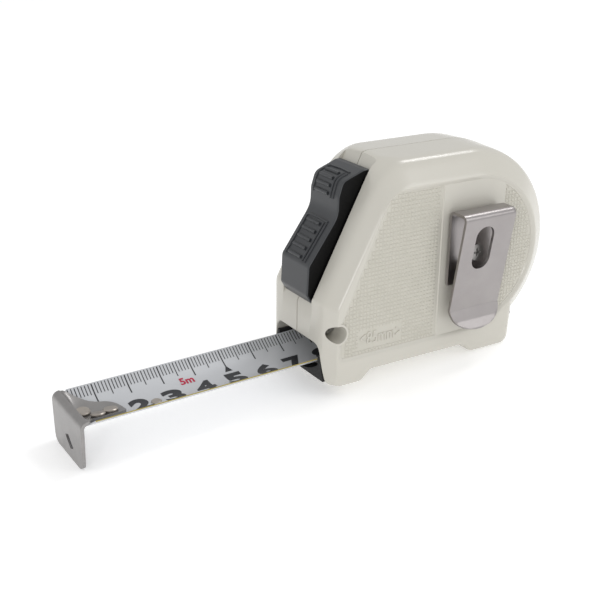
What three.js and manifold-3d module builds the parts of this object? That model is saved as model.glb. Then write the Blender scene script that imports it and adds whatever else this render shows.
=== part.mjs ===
// Pocket tape measure, five metres long, 25 mm blade. Millimetres, +Z up, +X towards the back of the
// case, the blade runs out along -X and the belt clip is on the -Y side.
// The case is drawn with X = 0 at its front face and Z = 0 at its soles; the finished group is moved
// so that its origin is the middle of the heel's sole.
import * as THREE from "three";
import { mergeVertices } from "three/addons/utils/BufferGeometryUtils.js";
import Module from "manifold-3d";

const wasm = await Module();
wasm.setup();
const { Manifold, Mesh } = wasm;

// ---- Driving dimensions (mm) ----
const GAP = 0.3; // air between two pieces that touch
const CASE_LENGTH = 85; // front face to the back of the round end
const CASE_HEIGHT = 65; // soles to the flat of the top
const HALF_THICKNESS = 17; // seam to the side face
const REAR_RADIUS = 32.2; // round end, on the seam
const EDGE_ROUND = 8; // round between the side faces and the top and back
const ROOF_SLOPE = 0.05; // fall of the top and back towards the sides, mm per mm
const FRONT_ROUND = 3.4; // round of the front corners, along X
const FACE_HALF = 9; // half width of the flat part of the front face
const SOLE_ROUND = 1.2; // round of the bottom edges
const FRONT_FACE_TOP = 25.7; // where the upright front face turns into the slope
const SLOPE_RISE = 37.4; // slope: height gained...
const SLOPE_RUN = 19.3; // ...over this length
const TOE_LENGTH = 12; // front sole
const BASE_LIFT = 3.1; // height of the belly between the soles
const RAMP = 3.5; // length of the ramp from a sole up to the belly
const HEEL_SOLE = 14.4; // length of the heel's sole
const HEEL_SET = 16.6; // from the end of the heel's sole to the back of the case
const HEEL_LEAN = 0.3; // how far the heel's back leans out per mm of height
const CAVITY_HALF = 13.2; // half width inside the case
const WALL = 2.6; // front, slope and top walls
const BELLY_WALL = 1.3; // floor under the reel
const MOUTH_TOP = 12.3; // top edge of the blade's mouth
const MOUTH_TOP_HALF = 11.4; // half width of the mouth at its top
const MOUTH_LOW_HALF = 14.3; // half width of the mouth at the sole
const MOUTH_CORNER = 3.2; // round of the mouth's top corners

const BLADE_WIDTH = 25; // measured flat
const BLADE_THICK = 0.3;
const BLADE_OUT = 71.2; // blade standing out of the mouth
const BLADE_DROOP = 0.024; // fall of the blade per mm towards the hook
const BLADE_SAG = 4.6; // depth of the blade's curl
const BLADE_CURL_HALF = 10.75; // half width of the curled blade
const BLADE_CLIP = 2.8; // corners cut off the blade's end
const BLADE_Z = 2.9; // middle of the curl at the mouth
const COIL_RADIUS = 27.3; // wound blade, outside
const COIL_CORE = 23.3; // wound blade, inside
const DRUM_RADIUS = 23; // reel drum, outside
const DRUM_WALL = 1.8;
const DISC_THICK = 1.4; // drum web and drum cover
const ARBOR_RADIUS = 3.5;
const RUNNING_FIT = 0.06; // radial clearance of the drum on its arbor
const SPRING_TURNS = 6;
const SPRING_THICK = 0.5;
const WASHER_RADIUS = 8;
const WASHER_THICK = 0.4;

const HOOK_THICK = 1;
const HOOK_HALF = 10.8; // half width of the hook at its bend
const HOOK_RISE = 5.21; // middle of the blade's end to the top of the bend
const HOOK_DROP = 14.6; // bend to the hook's lower edge
const HOOK_SLOT = [6, 2.6]; // nail slot, width and height
const HOOK_PLAY = 1; // travel of the hook on its rivets
const TONGUE_END = 15.6; // bend to the end of the tongue
const TONGUE_HALF = 4.6; // half width of the tongue
const RIVET_HEAD = 2.1; // radius
const RIVET_SHANK = 1.1; // radius
const STOP_MARK = 24.3; // reading on the blade where its stop rivet sits
const HOOK_RIVETS = [[7, 2.2], [9.4, -1.9], [13.4, -0.2]]; // from the hook's face, and sideways

const LEVER_HALF = 7.5; // half width of the lock lever
const CHANNEL_DEPTH = 1.5; // depth of the lever's channel
const LEVER_TRAVEL = 4.5; // up the slope, from locked to free
const BRAKE_X = 14.4; // front of the brake pad, behind the tongue of the drawn-in hook
const BRAKE_LONG = 3.8; // along the blade
const BRAKE_TALL = 3.9;
const BRAKE_HALF = 4;
const LEVER_SLOT_HALF = 2.6; // half width of the slot under the lever

const CLIP_WIDTH = 19;
const CLIP_THICK = 0.9;
const CLIP_X = 51.2; // middle of the clip
const CLIP_TOP = 48.4;
const CLIP_FOOT = 17.2; // height of the crease where the leaf meets the case
const CLIP_REACH = 7; // how far the leaf stands off at its top
const CLIP_SCREW_Z = 34.5;
const CLIP_SLOT = [5.8, 13]; // access slot in the leaf, width and height
const PANEL_DEPTH = 0.8; // recess of the textured panels
const FRONT_SCREW = [4.4, 17]; // X and Z of the screw under the front hole
const TOP_SCREW = [27.6, 8.4]; // the upper screw, ahead of the reel's axis and below the top
const HEEL_SCREW = [2, 4.6]; // the heel's screw, ahead of the sole's end and above it
const HEEL_PIN = [2.3, 9.2]; // the heel's pin, behind the sole's end and above it
const PIN_RADIUS = 0.75;
const SCREW_SHANK = 1.2;
const SCREW_HEAD = 2.1;
const COUNTERBORE = 3;
const ARC = 24; // segments of a full circle

// ---- Sizes that follow ----
const HEEL_BACK = CASE_LENGTH - HEEL_SET;
const HEEL_FRONT = HEEL_BACK - HEEL_SOLE;
const REEL_X = CASE_LENGTH - REAR_RADIUS; // axis of the reel
const REEL_Z = CASE_HEIGHT - REAR_RADIUS;
const SLOPE = Math.atan2(SLOPE_RISE, SLOPE_RUN);
const SX = Math.cos(SLOPE), SZ = Math.sin(SLOPE); // unit vector up the slope
const HEEL_X = (HEEL_FRONT + HEEL_BACK) / 2;
const REEL_ROOM = COIL_RADIUS + 0.6;
const CASE_SCREWS = [FRONT_SCREW, [REEL_X - TOP_SCREW[0], CASE_HEIGHT - TOP_SCREW[1]],
  [HEEL_BACK - HEEL_SCREW[0], HEEL_SCREW[1]]];
const ARBOR_FAR = CAVITY_HALF + 0.6; // end of the arbor in the far shell's socket
const ARBOR_NEAR = CAVITY_HALF - 0.2;
const ARBOR_SEAT = ARBOR_FAR + GAP + 0.9; // seat of the arbor screw's head

// ---- Helpers ----
// A closed manifold solid from a three.js geometry.
function solid(geometry) {
  const g = mergeVertices(
    new THREE.BufferGeometry()
      .setAttribute("position", geometry.getAttribute("position"))
      .setIndex(geometry.getIndex()), 1e-4);
  return new Manifold(new Mesh({
    numProp: 3,
    vertProperties: new Float32Array(g.attributes.position.array),
    triVerts: new Uint32Array(g.index.array),
  }));
}

// A three.js geometry from a manifold solid.
function geometryOf(s) {
  const m = s.getMesh();
  const g = new THREE.BufferGeometry();
  g.setAttribute("position", new THREE.BufferAttribute(Float32Array.from(m.vertProperties), 3));
  g.setIndex(new THREE.BufferAttribute(Uint32Array.from(m.triVerts), 1));
  g.computeVertexNormals();
  return g;
}

// A prism along Y from an outline of [x, z] points, with optional holes.
function prismY(points, y0, y1, holes = []) {
  const shape = new THREE.Shape(points.map(([x, z]) => new THREE.Vector2(x, z)));
  shape.holes = holes.map((h) => new THREE.Path(h.map(([x, z]) => new THREE.Vector2(x, z))));
  const g = new THREE.ExtrudeGeometry(shape, { depth: y1 - y0, bevelEnabled: false });
  return solid(g.rotateX(Math.PI / 2).translate(0, y1, 0));
}

// A prism along X from an outline of [y, z] points.
function prismX(points, x0, x1) {
  const shape = new THREE.Shape(points.map(([y, z]) => new THREE.Vector2(y, z)));
  const g = new THREE.ExtrudeGeometry(shape, { depth: x1 - x0, bevelEnabled: false });
  g.applyMatrix4(new THREE.Matrix4().set(0, 0, 1, x0, 1, 0, 0, 0, 0, 1, 0, 0, 0, 0, 0, 1));
  return solid(g);
}

// A cylinder along Y.
function cylinderY(radius, y0, y1, x, z, segments = ARC) {
  return solid(new THREE.CylinderGeometry(radius, radius, y1 - y0, segments)
    .translate(x, (y0 + y1) / 2, z));
}

// A turned piece about the reel's axis, from [radius, y] points.
function turned(points, segments = ARC * 2, x = REEL_X, z = REEL_Z) {
  const closed = [...points, points[0]].map(([r, y]) => new THREE.Vector2(r, y));
  return solid(new THREE.LatheGeometry(closed, segments).translate(x, 0, z));
}

function box(x0, x1, y0, y1, z0, z1) {
  return solid(new THREE.BoxGeometry(x1 - x0, y1 - y0, z1 - z0)
    .translate((x0 + x1) / 2, (y0 + y1) / 2, (z0 + z1) / 2));
}

// A path of [x, z] corners, each rounded to its own radius with a fixed number of points.
function rounded(corners) {
  const out = [];
  corners.forEach(({ p, r = 0, n = 4 }, i) => {
    if (!r) return out.push(p);
    const a = corners[(i + corners.length - 1) % corners.length].p;
    const b = corners[(i + 1) % corners.length].p;
    const P = new THREE.Vector2(...p);
    const u = new THREE.Vector2(...a).sub(P).normalize();
    const v = new THREE.Vector2(...b).sub(P).normalize();
    const half = Math.acos(u.dot(v)) / 2;
    const centre = u.clone().add(v).normalize().multiplyScalar(r / Math.sin(half)).add(P);
    const start = P.clone().addScaledVector(u, r / Math.tan(half)).sub(centre).angle();
    let turn = P.clone().addScaledVector(v, r / Math.tan(half)).sub(centre).angle() - start;
    turn = Math.atan2(Math.sin(turn), Math.cos(turn));
    for (let k = 0; k <= n; k++) {
      const t = start + (turn * k) / n;
      out.push([centre.x + r * Math.cos(t), centre.y + r * Math.sin(t)]);
    }
  });
  return out;
}

// A solid lofted through rings of equal point count; ring j lies at y = ys[j], in growing order.
function loftY(rings, ys) {
  const n = rings[0].length, position = [], index = [];
  rings.forEach((ring, j) => ring.forEach(([x, z]) => position.push(x, ys[j], z)));
  const flat = rings[0].map(([x, z]) => new THREE.Vector2(x, z));
  const ccw = THREE.ShapeUtils.area(flat) > 0;
  const add = (a, b, c) => (ccw ? index.push(a, c, b) : index.push(a, b, c));
  for (let j = 0; j + 1 < rings.length; j++) {
    for (let i = 0; i < n; i++) {
      const a = j * n + i, b = j * n + ((i + 1) % n), c = a + n, d = b + n;
      add(a, b, d);
      add(a, d, c);
    }
  }
  const cap = (ring, base, top) => {
    const pts = ring.map(([x, z]) => new THREE.Vector2(x, z));
    for (const [a, b, c] of THREE.ShapeUtils.triangulateShape(pts, [])) {
      const up = (pts[b].x - pts[a].x) * (pts[c].y - pts[a].y) -
        (pts[b].y - pts[a].y) * (pts[c].x - pts[a].x) > 0;
      const [p, q] = up !== top ? [b, c] : [c, b];
      index.push(base + a, base + p, base + q);
    }
  };
  cap(rings[0], 0, false);
  cap(rings[rings.length - 1], (rings.length - 1) * n, true);
  const g = new THREE.BufferGeometry();
  g.setAttribute("position", new THREE.Float32BufferAttribute(position, 3));
  g.setIndex(index);
  return oriented(g);
}

// The solid of a closed geometry, turned face out if it was drawn inside out.
function oriented(g) {
  const s = solid(g);
  if (s.volume() > 0) return s;
  const i = g.getIndex();
  for (let k = 0; k < i.count; k += 3) {
    const t = i.getX(k + 1);
    i.setX(k + 1, i.getX(k + 2));
    i.setX(k + 2, t);
  }
  return solid(g);
}

// A sheet-metal strip. Each station gives its middle [a, z], the side its upper face looks to
// [na, nz], its half width, and sag, the rise of its edges over its middle. The strip's width lies
// along Y with a along X, or along X about `mid` with a along Y when `across` is "x".
function strip(stations, thick, across = "y", mid = 0, parts = 6) {
  const position = [], index = [], n = parts + 1;
  for (const top of [0, thick]) {
    for (const s of stations) {
      for (let k = 0; k < n; k++) {
        const t = (2 * k) / parts - 1, lift = s.sag * t * t + top;
        const a = s.a + s.na * lift, z = s.z + s.nz * lift, w = mid + s.half * t;
        position.push(...(across === "y" ? [a, w, z] : [w, a, z]));
      }
    }
  }
  const m = stations.length, at = (l, j, k) => (l * m + j) * n + k;
  const quad = (a, b, c, d) => index.push(a, b, c, a, c, d);
  for (let j = 0; j + 1 < m; j++) {
    for (let k = 0; k < parts; k++) {
      quad(at(0, j, k), at(0, j, k + 1), at(0, j + 1, k + 1), at(0, j + 1, k));
      quad(at(1, j, k), at(1, j + 1, k), at(1, j + 1, k + 1), at(1, j, k + 1));
    }
    quad(at(0, j, 0), at(0, j + 1, 0), at(1, j + 1, 0), at(1, j, 0));
    quad(at(0, j, parts), at(1, j, parts), at(1, j + 1, parts), at(0, j + 1, parts));
  }
  for (let k = 0; k < parts; k++) {
    quad(at(0, 0, k), at(1, 0, k), at(1, 0, k + 1), at(0, 0, k + 1));
    quad(at(0, m - 1, k), at(0, m - 1, k + 1), at(1, m - 1, k + 1), at(1, m - 1, k));
  }
  const g = new THREE.BufferGeometry();
  g.setAttribute("position", new THREE.Float32BufferAttribute(position, 3));
  g.setIndex(index);
  return oriented(g);
}

const mirrored = (s) => s.mirror([0, 1, 0]);
const smooth = (t) => t * t * (3 - 2 * t);
const mix = (a, b, t) => a + (b - a) * t;

// ---- Case ----
// How far the skin has drawn in at a distance a from the seam.
const quarter = (a, depth, reach) => {
  const t = Math.min(1, Math.max(0, (a - (HALF_THICKNESS - reach)) / reach));
  return depth * (1 - Math.sqrt(1 - t * t));
};
const roofInset = (a) => quarter(a, EDGE_ROUND, EDGE_ROUND) + ROOF_SLOPE * a;
const frontInset = (a) => quarter(a, FRONT_ROUND, HALF_THICKNESS - FACE_HALF);
const soleInset = (a) => quarter(a, SOLE_ROUND, SOLE_ROUND);
const heelInset = (a) => quarter(a, 3.4, 5);

// X of the sloped front at height z, drawn in by d.
const slopeX = (z, d = 0) => ((z - FRONT_FACE_TOP) * SX + d) / SZ;

// Outline of the case at a distance a from the seam.
function caseRing(a) {
  const roof = roofInset(a), front = frontInset(a), sole = soleInset(a);
  const radius = REAR_RADIUS - roof, heel = HEEL_BACK - heelInset(a);
  // The heel's back is a line leaning out, met by the round end.
  const dx = heel - REEL_X, k = HEEL_LEAN;
  // (dx + k z)^2 + (z - REEL_Z)^2 = radius^2
  const A = k * k + 1, B = 2 * (dx * k - REEL_Z), C = dx * dx + REEL_Z * REEL_Z - radius * radius;
  const meet = (-B - Math.sqrt(B * B - 4 * A * C)) / (2 * A);
  const from = Math.atan2(meet - REEL_Z, heel + k * meet - REEL_X);
  const rear = [];
  for (let i = 0; i <= 18; i++) {
    const t = mix(from, Math.PI / 2, i / 18);
    rear.push({ p: [REEL_X + radius * Math.cos(t), REEL_Z + radius * Math.sin(t)] });
  }
  const top = CASE_HEIGHT - roof;
  return rounded([
    { p: [front, sole], r: 2.4 },
    { p: [TOE_LENGTH, sole], r: 2, n: 2 },
    { p: [TOE_LENGTH + RAMP, BASE_LIFT + sole], r: 2, n: 2 },
    { p: [HEEL_FRONT - RAMP * 0.8, BASE_LIFT + sole], r: 2, n: 2 },
    { p: [HEEL_FRONT, sole], r: 2, n: 2 },
    { p: [heel + k * sole, sole], r: 2.6 },
    ...rear,
    { p: [slopeX(top, front), top], r: 6 },
    { p: [front, FRONT_FACE_TOP - front * 0.5], r: 4, n: 3 },
  ]);
}

const LEVELS = [0, 9, 12, 14, 15.4, 16.3, 16.8, 17].map((a) => (a / 17) * HALF_THICKNESS);
const skin = loftY(LEVELS.map(caseRing).reverse(), LEVELS.map((a) => -a).reverse());

// The hollow: the reel's pocket, the room behind the front and the blade's passage.
const BELLY = BASE_LIFT + BELLY_WALL;
const roomTop = REEL_Z + REEL_ROOM;
const hollow = cylinderY(REEL_ROOM, -CAVITY_HALF, CAVITY_HALF, REEL_X, REEL_Z, ARC * 2)
  .add(prismY([
    [WALL, MOUTH_TOP + 1.6], [REEL_X, MOUTH_TOP + 1.6], [REEL_X, roomTop],
    [slopeX(roomTop, WALL), roomTop], [WALL, FRONT_FACE_TOP - 1],
  ], -CAVITY_HALF + 0.4, CAVITY_HALF - 0.4))
  .add(prismY([
    [5.5, 1.3], [10.5, 1.8], [15.5, 3.9], [22, BELLY], [REEL_X, BELLY],
    [REEL_X, MOUTH_TOP + 2], [5.5, MOUTH_TOP + 2],
  ], -CAVITY_HALF, CAVITY_HALF));

// The mouth: open at the bottom, its sides leaning in to round top corners.
const mouth = (grow, z0) => {
  const lean = (MOUTH_LOW_HALF - MOUTH_TOP_HALF) / MOUTH_TOP;
  const low = MOUTH_LOW_HALF - z0 * lean + grow, up = MOUTH_TOP_HALF + grow;
  return rounded([
    { p: [-low, z0] }, { p: [low, z0] },
    { p: [up, MOUTH_TOP + grow], r: MOUTH_CORNER }, { p: [-up, MOUTH_TOP + grow], r: MOUTH_CORNER },
  ]);
};
const mouthCut = prismX(mouth(0, -1), -1, 6);

// The lever's channel down the sloped front, and the slot its neck runs in.
const onSlope = (along, out) => [slopeX(FRONT_FACE_TOP) + along * SX - out * SZ,
  FRONT_FACE_TOP + along * SZ + out * SX];
const SLOPE_LENGTH = Math.hypot(SLOPE_RISE, SLOPE_RUN);
const channel = prismY([
  onSlope(-12, 4), onSlope(-12, -CHANNEL_DEPTH), onSlope(SLOPE_LENGTH + 6, -CHANNEL_DEPTH),
  onSlope(SLOPE_LENGTH + 6, 4),
], -LEVER_HALF - GAP, LEVER_HALF + GAP).intersect(
  prismY([[-9, FRONT_FACE_TOP - 3.6], [60, FRONT_FACE_TOP - 3.6], [60, 90], [-9, 90]], -20, 20));
const NECK = [10, 24]; // neck of the lever, along the slope
const neckSlot = prismY([
  onSlope(NECK[0] - 1, 1), onSlope(NECK[0] - 1, -WALL - 4),
  onSlope(NECK[1] + LEVER_TRAVEL + 1, -WALL - 4), onSlope(NECK[1] + LEVER_TRAVEL + 1, 1),
], -LEVER_SLOT_HALF, LEVER_SLOT_HALF);

// Textured panels on a side face, and the crescent behind the clip's band.
const CLIP_BAND = [CLIP_X - CLIP_WIDTH / 2 - 2.1, CLIP_X + CLIP_WIDTH / 2 + 3.1];
const BASE_BAND = 8.6; // top of the plain band along the bottom
const panelTop = CASE_HEIGHT - roofInset(HALF_THICKNESS);
function panelRing(grow) {
  const wide = grow * 6;
  const x = (z) => slopeX(z, FRONT_ROUND * 1.05 - wide);
  return rounded([
    { p: [4.6 - wide * 0.35, BASE_BAND - grow] }, { p: [CLIP_BAND[0] + grow, BASE_BAND - grow] },
    { p: [CLIP_BAND[0] + grow, panelTop + grow] }, { p: [x(panelTop) + 1.2, panelTop + grow], r: 3 },
    { p: [4.6 - wide * 0.35, 19 + grow], r: 6 },
  ]);
}
const faceY = -HALF_THICKNESS;
const panel = loftY([panelRing(0.6), panelRing(0)], [faceY - 0.2, faceY + PANEL_DEPTH]);
function crescentRing(grow) {
  const r = REAR_RADIUS - roofInset(HALF_THICKNESS) - 0.4 + grow;
  const x = CLIP_BAND[1] - grow, pts = [];
  const reach = Math.acos((x - REEL_X) / r);
  for (let i = 0; i <= 14; i++) {
    const t = mix(-reach * 0.98, reach, i / 14);
    pts.push([REEL_X + r * Math.cos(t), REEL_Z + r * Math.sin(t)]);
  }
  pts[0][0] = pts[14][0] = x;
  return pts;
}
const crescent = loftY([crescentRing(0.3), crescentRing(0)], [faceY - 0.2, faceY + PANEL_DEPTH]);

// Bosses for the case screws and sockets for the reel's arbor.
const bosses = CASE_SCREWS.map(([x, z], i) =>
  cylinderY(i === 2 ? 2.5 : 3.2, -CAVITY_HALF - 0.5, 0, x, z, 16));
const socket = turned([
  [ARBOR_RADIUS + GAP, -CAVITY_HALF - 0.2], [ARBOR_RADIUS + GAP, -CAVITY_HALF + 0.2],
  [WASHER_RADIUS - 2.5, -CAVITY_HALF + 0.2], [WASHER_RADIUS - 2.5, -CAVITY_HALF - 0.2],
], ARC);

function halfCase() {
  let s = skin.subtract(hollow).subtract(mouthCut).subtract(channel).subtract(neckSlot);
  bosses.forEach((b) => { s = s.add(b); });
  return s.subtract(box(-20, 100, -GAP / 2, 1, -20, 100)); // the seam
}

// The clip, its screw and the nut in the wall behind it.
const clipFace = faceY - GAP;
const clipNutRoom = box(CLIP_X - 3.4, CLIP_X + 3.4, -15.5, -CAVITY_HALF + 1,
  CLIP_SCREW_Z - 3.4, CLIP_SCREW_Z + 3.4);
const heelLap = (g) => box(HEEL_FRONT + 2 - g, HEEL_BACK - 4 + g, -1, 2.4 + g, -1, 1.5 + g);
const heelPin = [HEEL_BACK + HEEL_PIN[0], HEEL_PIN[1]];

let nearShell = halfCase().subtract(panel).subtract(crescent).subtract(clipNutRoom)
  .subtract(cylinderY(SCREW_SHANK + GAP, -20, -10, CLIP_X, CLIP_SCREW_Z, 16))
  .subtract(cylinderY(COUNTERBORE, -20, -9, ...CASE_SCREWS[0]))
  .subtract(cylinderY(SCREW_SHANK + GAP, -12, 1, ...CASE_SCREWS[0], 12));
for (const p of CASE_SCREWS.slice(1)) {
  nearShell = nearShell.subtract(cylinderY(SCREW_SHANK + GAP, -10, 1, ...p, 12));
}
nearShell = nearShell.subtract(cylinderY(PIN_RADIUS + 0.15, -20, 1, ...heelPin, 10))
  .add(heelLap(0).intersect(box(0, 100, -1, 3, 0, 3)));

let farShell = mirrored(halfCase())
  .subtract(cylinderY(ARBOR_RADIUS + GAP, 1, ARBOR_FAR + GAP, REEL_X, REEL_Z))
  .subtract(mirrored(panel)).subtract(mirrored(crescent))
  .subtract(cylinderY(SCREW_SHANK + GAP, -1, 10, ...CASE_SCREWS[0], 12))
  .subtract(cylinderY(SCREW_SHANK + GAP, 10, 20, REEL_X, REEL_Z, 12))
  .subtract(cylinderY(SCREW_HEAD + GAP, ARBOR_SEAT, 20, REEL_X, REEL_Z, 16));
for (const p of CASE_SCREWS.slice(1)) {
  farShell = farShell.subtract(cylinderY(SCREW_SHANK + GAP, -1, 13, ...p, 12))
    .subtract(cylinderY(SCREW_HEAD + GAP, 9, 20, ...p, 16));
}
farShell = farShell.subtract(cylinderY(PIN_RADIUS + 0.15, -1, 20, ...heelPin, 10)).subtract(heelLap(GAP));

// ---- Mouth liner: a thin black guide that the blade slides in ----
const LINER = { x0: 0.5, x1: 5.2, z0: 1.4, floor: 0.6, wall: 1, top: 9 };
const linerSide = (z) => MOUTH_LOW_HALF - z * ((MOUTH_LOW_HALF - MOUTH_TOP_HALF) / MOUTH_TOP) - GAP;
const linerOuter = [[-linerSide(LINER.z0), LINER.z0], [linerSide(LINER.z0), LINER.z0],
  [linerSide(LINER.top), LINER.top], [-linerSide(LINER.top), LINER.top]];
const linerInner = [];
for (let i = 0; i <= 8; i++) {
  const t = -1 + i / 4, half = linerSide(LINER.top) - LINER.wall;
  linerInner.push([half * t, LINER.z0 + LINER.floor + BLADE_SAG * 0.8 * Math.abs(t) ** 2.4]);
}
linerInner.push([linerSide(LINER.top) - LINER.wall, 20], [LINER.wall - linerSide(LINER.top), 20]);
const liner = prismX(linerOuter, LINER.x0, LINER.x1).subtract(prismX(linerInner, -1, 20));

// ---- Blade, reel and spring ----
const bladeFlatX = REEL_X - 6;
const bladeRest = (x) => {
  // Middle height, curl and half width of the blade at x.
  const flat = REEL_Z - COIL_RADIUS - GAP - BLADE_THICK;
  const out = BLADE_Z + BLADE_DROOP * x;
  const t = smooth(Math.min(1, Math.max(0, x / 26)));
  const c = smooth(Math.min(1, Math.max(0, (x - 2) / (bladeFlatX - 2))));
  return {
    a: x, z: x <= 0 ? out : mix(out, flat, t), na: 0, nz: 1,
    half: mix(BLADE_CURL_HALF, BLADE_WIDTH / 2, c), sag: BLADE_SAG * (1 - c),
  };
};
const bladeXs = [-BLADE_OUT, -BLADE_OUT + BLADE_CLIP, -BLADE_OUT * 0.79, -BLADE_OUT * 0.56,
  -BLADE_OUT * 0.28, 0, 4, 8, 12, 16, 20, 24, 28, 33, 38,
  42, bladeFlatX, REEL_X];
const bladeStations = bladeXs.map(bladeRest);
bladeStations[0].half -= BLADE_CLIP;
bladeStations[0].sag *= (bladeStations[0].half / BLADE_CURL_HALF) ** 2;
let blade = strip(bladeStations, BLADE_THICK, "y", 0, 12);

const hookFace = -BLADE_OUT - GAP - HOOK_THICK; // outer face of the hook
const rivetAt = ([dx, y]) => [hookFace + dx, y];
HOOK_RIVETS.map(rivetAt).forEach(([x, y]) => {
  blade = blade.subtract(post(RIVET_SHANK + 0.1, -6, 12, x, y, 12));
});
const STOP_RIVET = [STOP_MARK - BLADE_OUT, -1.8];
blade = blade.subtract(post(0.8, -6, 12, ...STOP_RIVET, 12));

// A cylinder along Z.
function post(radius, z0, z1, x, y, segments = 16) {
  return solid(new THREE.CylinderGeometry(radius, radius, z1 - z0, segments)
    .rotateX(Math.PI / 2).translate(x, y, (z0 + z1) / 2));
}

const half = BLADE_WIDTH / 2;
const coil = turned([[COIL_CORE, -half], [COIL_RADIUS, -half], [COIL_RADIUS, half], [COIL_CORE, half]]);
const bore = ARBOR_RADIUS + RUNNING_FIT;
const drumHalf = half - 0.1;
const drum = turned([
  [bore, drumHalf - DISC_THICK], [DRUM_RADIUS - DRUM_WALL, drumHalf - DISC_THICK],
  [DRUM_RADIUS - DRUM_WALL, -drumHalf], [DRUM_RADIUS, -drumHalf], [DRUM_RADIUS, drumHalf],
  [bore, drumHalf],
]);
const coverRim = DRUM_RADIUS - DRUM_WALL - GAP;
const cover = turned([[bore, -drumHalf], [coverRim, -drumHalf], [coverRim, -drumHalf + DISC_THICK],
  [bore, -drumHalf + DISC_THICK]]);
const washerPoints = (y) => [[ARBOR_RADIUS + GAP, y], [WASHER_RADIUS, y],
  [WASHER_RADIUS, y + WASHER_THICK], [ARBOR_RADIUS + GAP, y + WASHER_THICK]];
const washerFar = turned(washerPoints(drumHalf + 0.12), ARC);
const washerNear = turned(washerPoints(-drumHalf - 0.12 - WASHER_THICK), ARC);

const springRing = [];
const springFrom = ARBOR_RADIUS + 0.5, springTo = DRUM_RADIUS - DRUM_WALL - GAP - SPRING_THICK;
for (let side = 0; side < 2; side++) {
  const pts = [];
  for (let i = 0; i <= SPRING_TURNS * 20; i++) {
    const t = i / (SPRING_TURNS * 20), a = t * SPRING_TURNS * 2 * Math.PI;
    const r = mix(springFrom, springTo, t) + side * SPRING_THICK;
    pts.push([REEL_X + r * Math.cos(a), REEL_Z + r * Math.sin(a)]);
  }
  springRing.push(...(side ? pts.reverse() : pts));
}
const spring = prismY(springRing, -drumHalf + DISC_THICK + GAP, drumHalf - DISC_THICK - GAP);

const arbor = cylinderY(ARBOR_RADIUS, -ARBOR_NEAR, ARBOR_FAR, REEL_X, REEL_Z, ARC * 2)
  .subtract(box(REEL_X - 0.5, REEL_X + 9, -9, 9, REEL_Z - 0.5, REEL_Z + 0.5))
  .subtract(cylinderY(SCREW_SHANK + 0.15, ARBOR_FAR - 3.5, ARBOR_FAR + 1, REEL_X, REEL_Z, 12));

// ---- End hook ----
const dirs = (angle) => ({ na: -Math.sin(angle), nz: Math.cos(angle) });
const hookStations = [];
const plateX = hookFace + HOOK_THICK; // inner face
const hookTop = bladeRest(-BLADE_OUT).z + HOOK_RISE;
const hookLow = hookTop - HOOK_DROP;
[[0, 2.2], [0.35, 1.1], [1, 0.4], [2.2, 0], [6, 0], [10, 0]].forEach(([up, cut]) => {
  hookStations.push({ a: plateX, z: hookLow + up, na: -1, nz: 0, half: HOOK_HALF - 0.5 - cut +
    0.5 * (up / 10), sag: 0 });
});
const bend = 1.1; // inner radius of the bend
for (let i = 0; i <= 4; i++) {
  const t = (Math.PI / 2) * (1 - i / 4);
  hookStations.push({ a: plateX + bend - bend * Math.sin(t), na: -Math.sin(t), nz: Math.cos(t),
    z: hookTop - HOOK_THICK - bend + bend * Math.cos(t), half: HOOK_HALF, sag: 0 });
}
const tongueSag = (w) => BLADE_SAG * (w / BLADE_CURL_HALF) ** 2;
[[3, 0.7, 8.9], [3.8, 0.3, 7.6], [4.6, 0.05, 6.3], [6.6, 0, TONGUE_HALF], [12, 0, TONGUE_HALF],
  [14, 0, TONGUE_HALF * 0.82], [15, 0, TONGUE_HALF * 0.5], [TONGUE_END, 0, TONGUE_HALF * 0.22],
].forEach(([dx, k, w]) => {
  const x = hookFace + dx, seat = bladeRest(x).z + BLADE_THICK + GAP;
  hookStations.push({ a: x, z: mix(seat, hookTop - HOOK_THICK - 0.2, k), na: 0, nz: 1, half: w,
    sag: tongueSag(w) * (1 - k) });
});
let hook = strip(hookStations, HOOK_THICK, "y", 0, 8);
hook = hook.subtract(box(hookFace - 1, plateX + 1, -HOOK_SLOT[0] / 2, HOOK_SLOT[0] / 2,
  hookLow + 6.2, hookLow + 6.2 + HOOK_SLOT[1]));
// Slots that let the hook slide on its rivets by its own thickness.
HOOK_RIVETS.map(rivetAt).forEach(([x, y]) => {
  const r = RIVET_SHANK + 0.15;
  hook = hook.subtract(post(r, -6, 12, x, y, 12)).subtract(post(r, -6, 12, x - HOOK_PLAY, y, 12))
    .subtract(box(x - HOOK_PLAY, x, y - r, y + r, -6, 12));
});
// A rivet: head over the tongue, shank through both, flat tail under the blade.
const rivet = ([x, y]) => {
  const under = bladeRest(x).z + BLADE_SAG * (y / BLADE_CURL_HALF) ** 2;
  const over = bladeRest(x).z + BLADE_THICK + GAP + HOOK_THICK + tongueSag(Math.abs(y) + RIVET_HEAD);
  return post(RIVET_SHANK, under - 0.4, over + 0.5, x, y, 12)
    .add(post(RIVET_HEAD, over + 0.3, over + 0.8, x, y, 16))
    .add(post(RIVET_HEAD * 0.75, under - 0.55, under - 0.3, x, y, 12));
};
const rivets = HOOK_RIVETS.map(rivetAt).map(rivet);
const stopZ = bladeRest(STOP_RIVET[0]).z + BLADE_SAG * (STOP_RIVET[1] / BLADE_CURL_HALF) ** 2;
const stopRivet = post(0.7, stopZ - 0.4, stopZ + 0.8, ...STOP_RIVET, 12)
  .add(post(1.5, stopZ + BLADE_THICK + 0.4, stopZ + BLADE_THICK + 0.7, ...STOP_RIVET, 14))
  .add(post(1.2, stopZ - 0.55, stopZ - 0.3, ...STOP_RIVET, 14));

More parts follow.
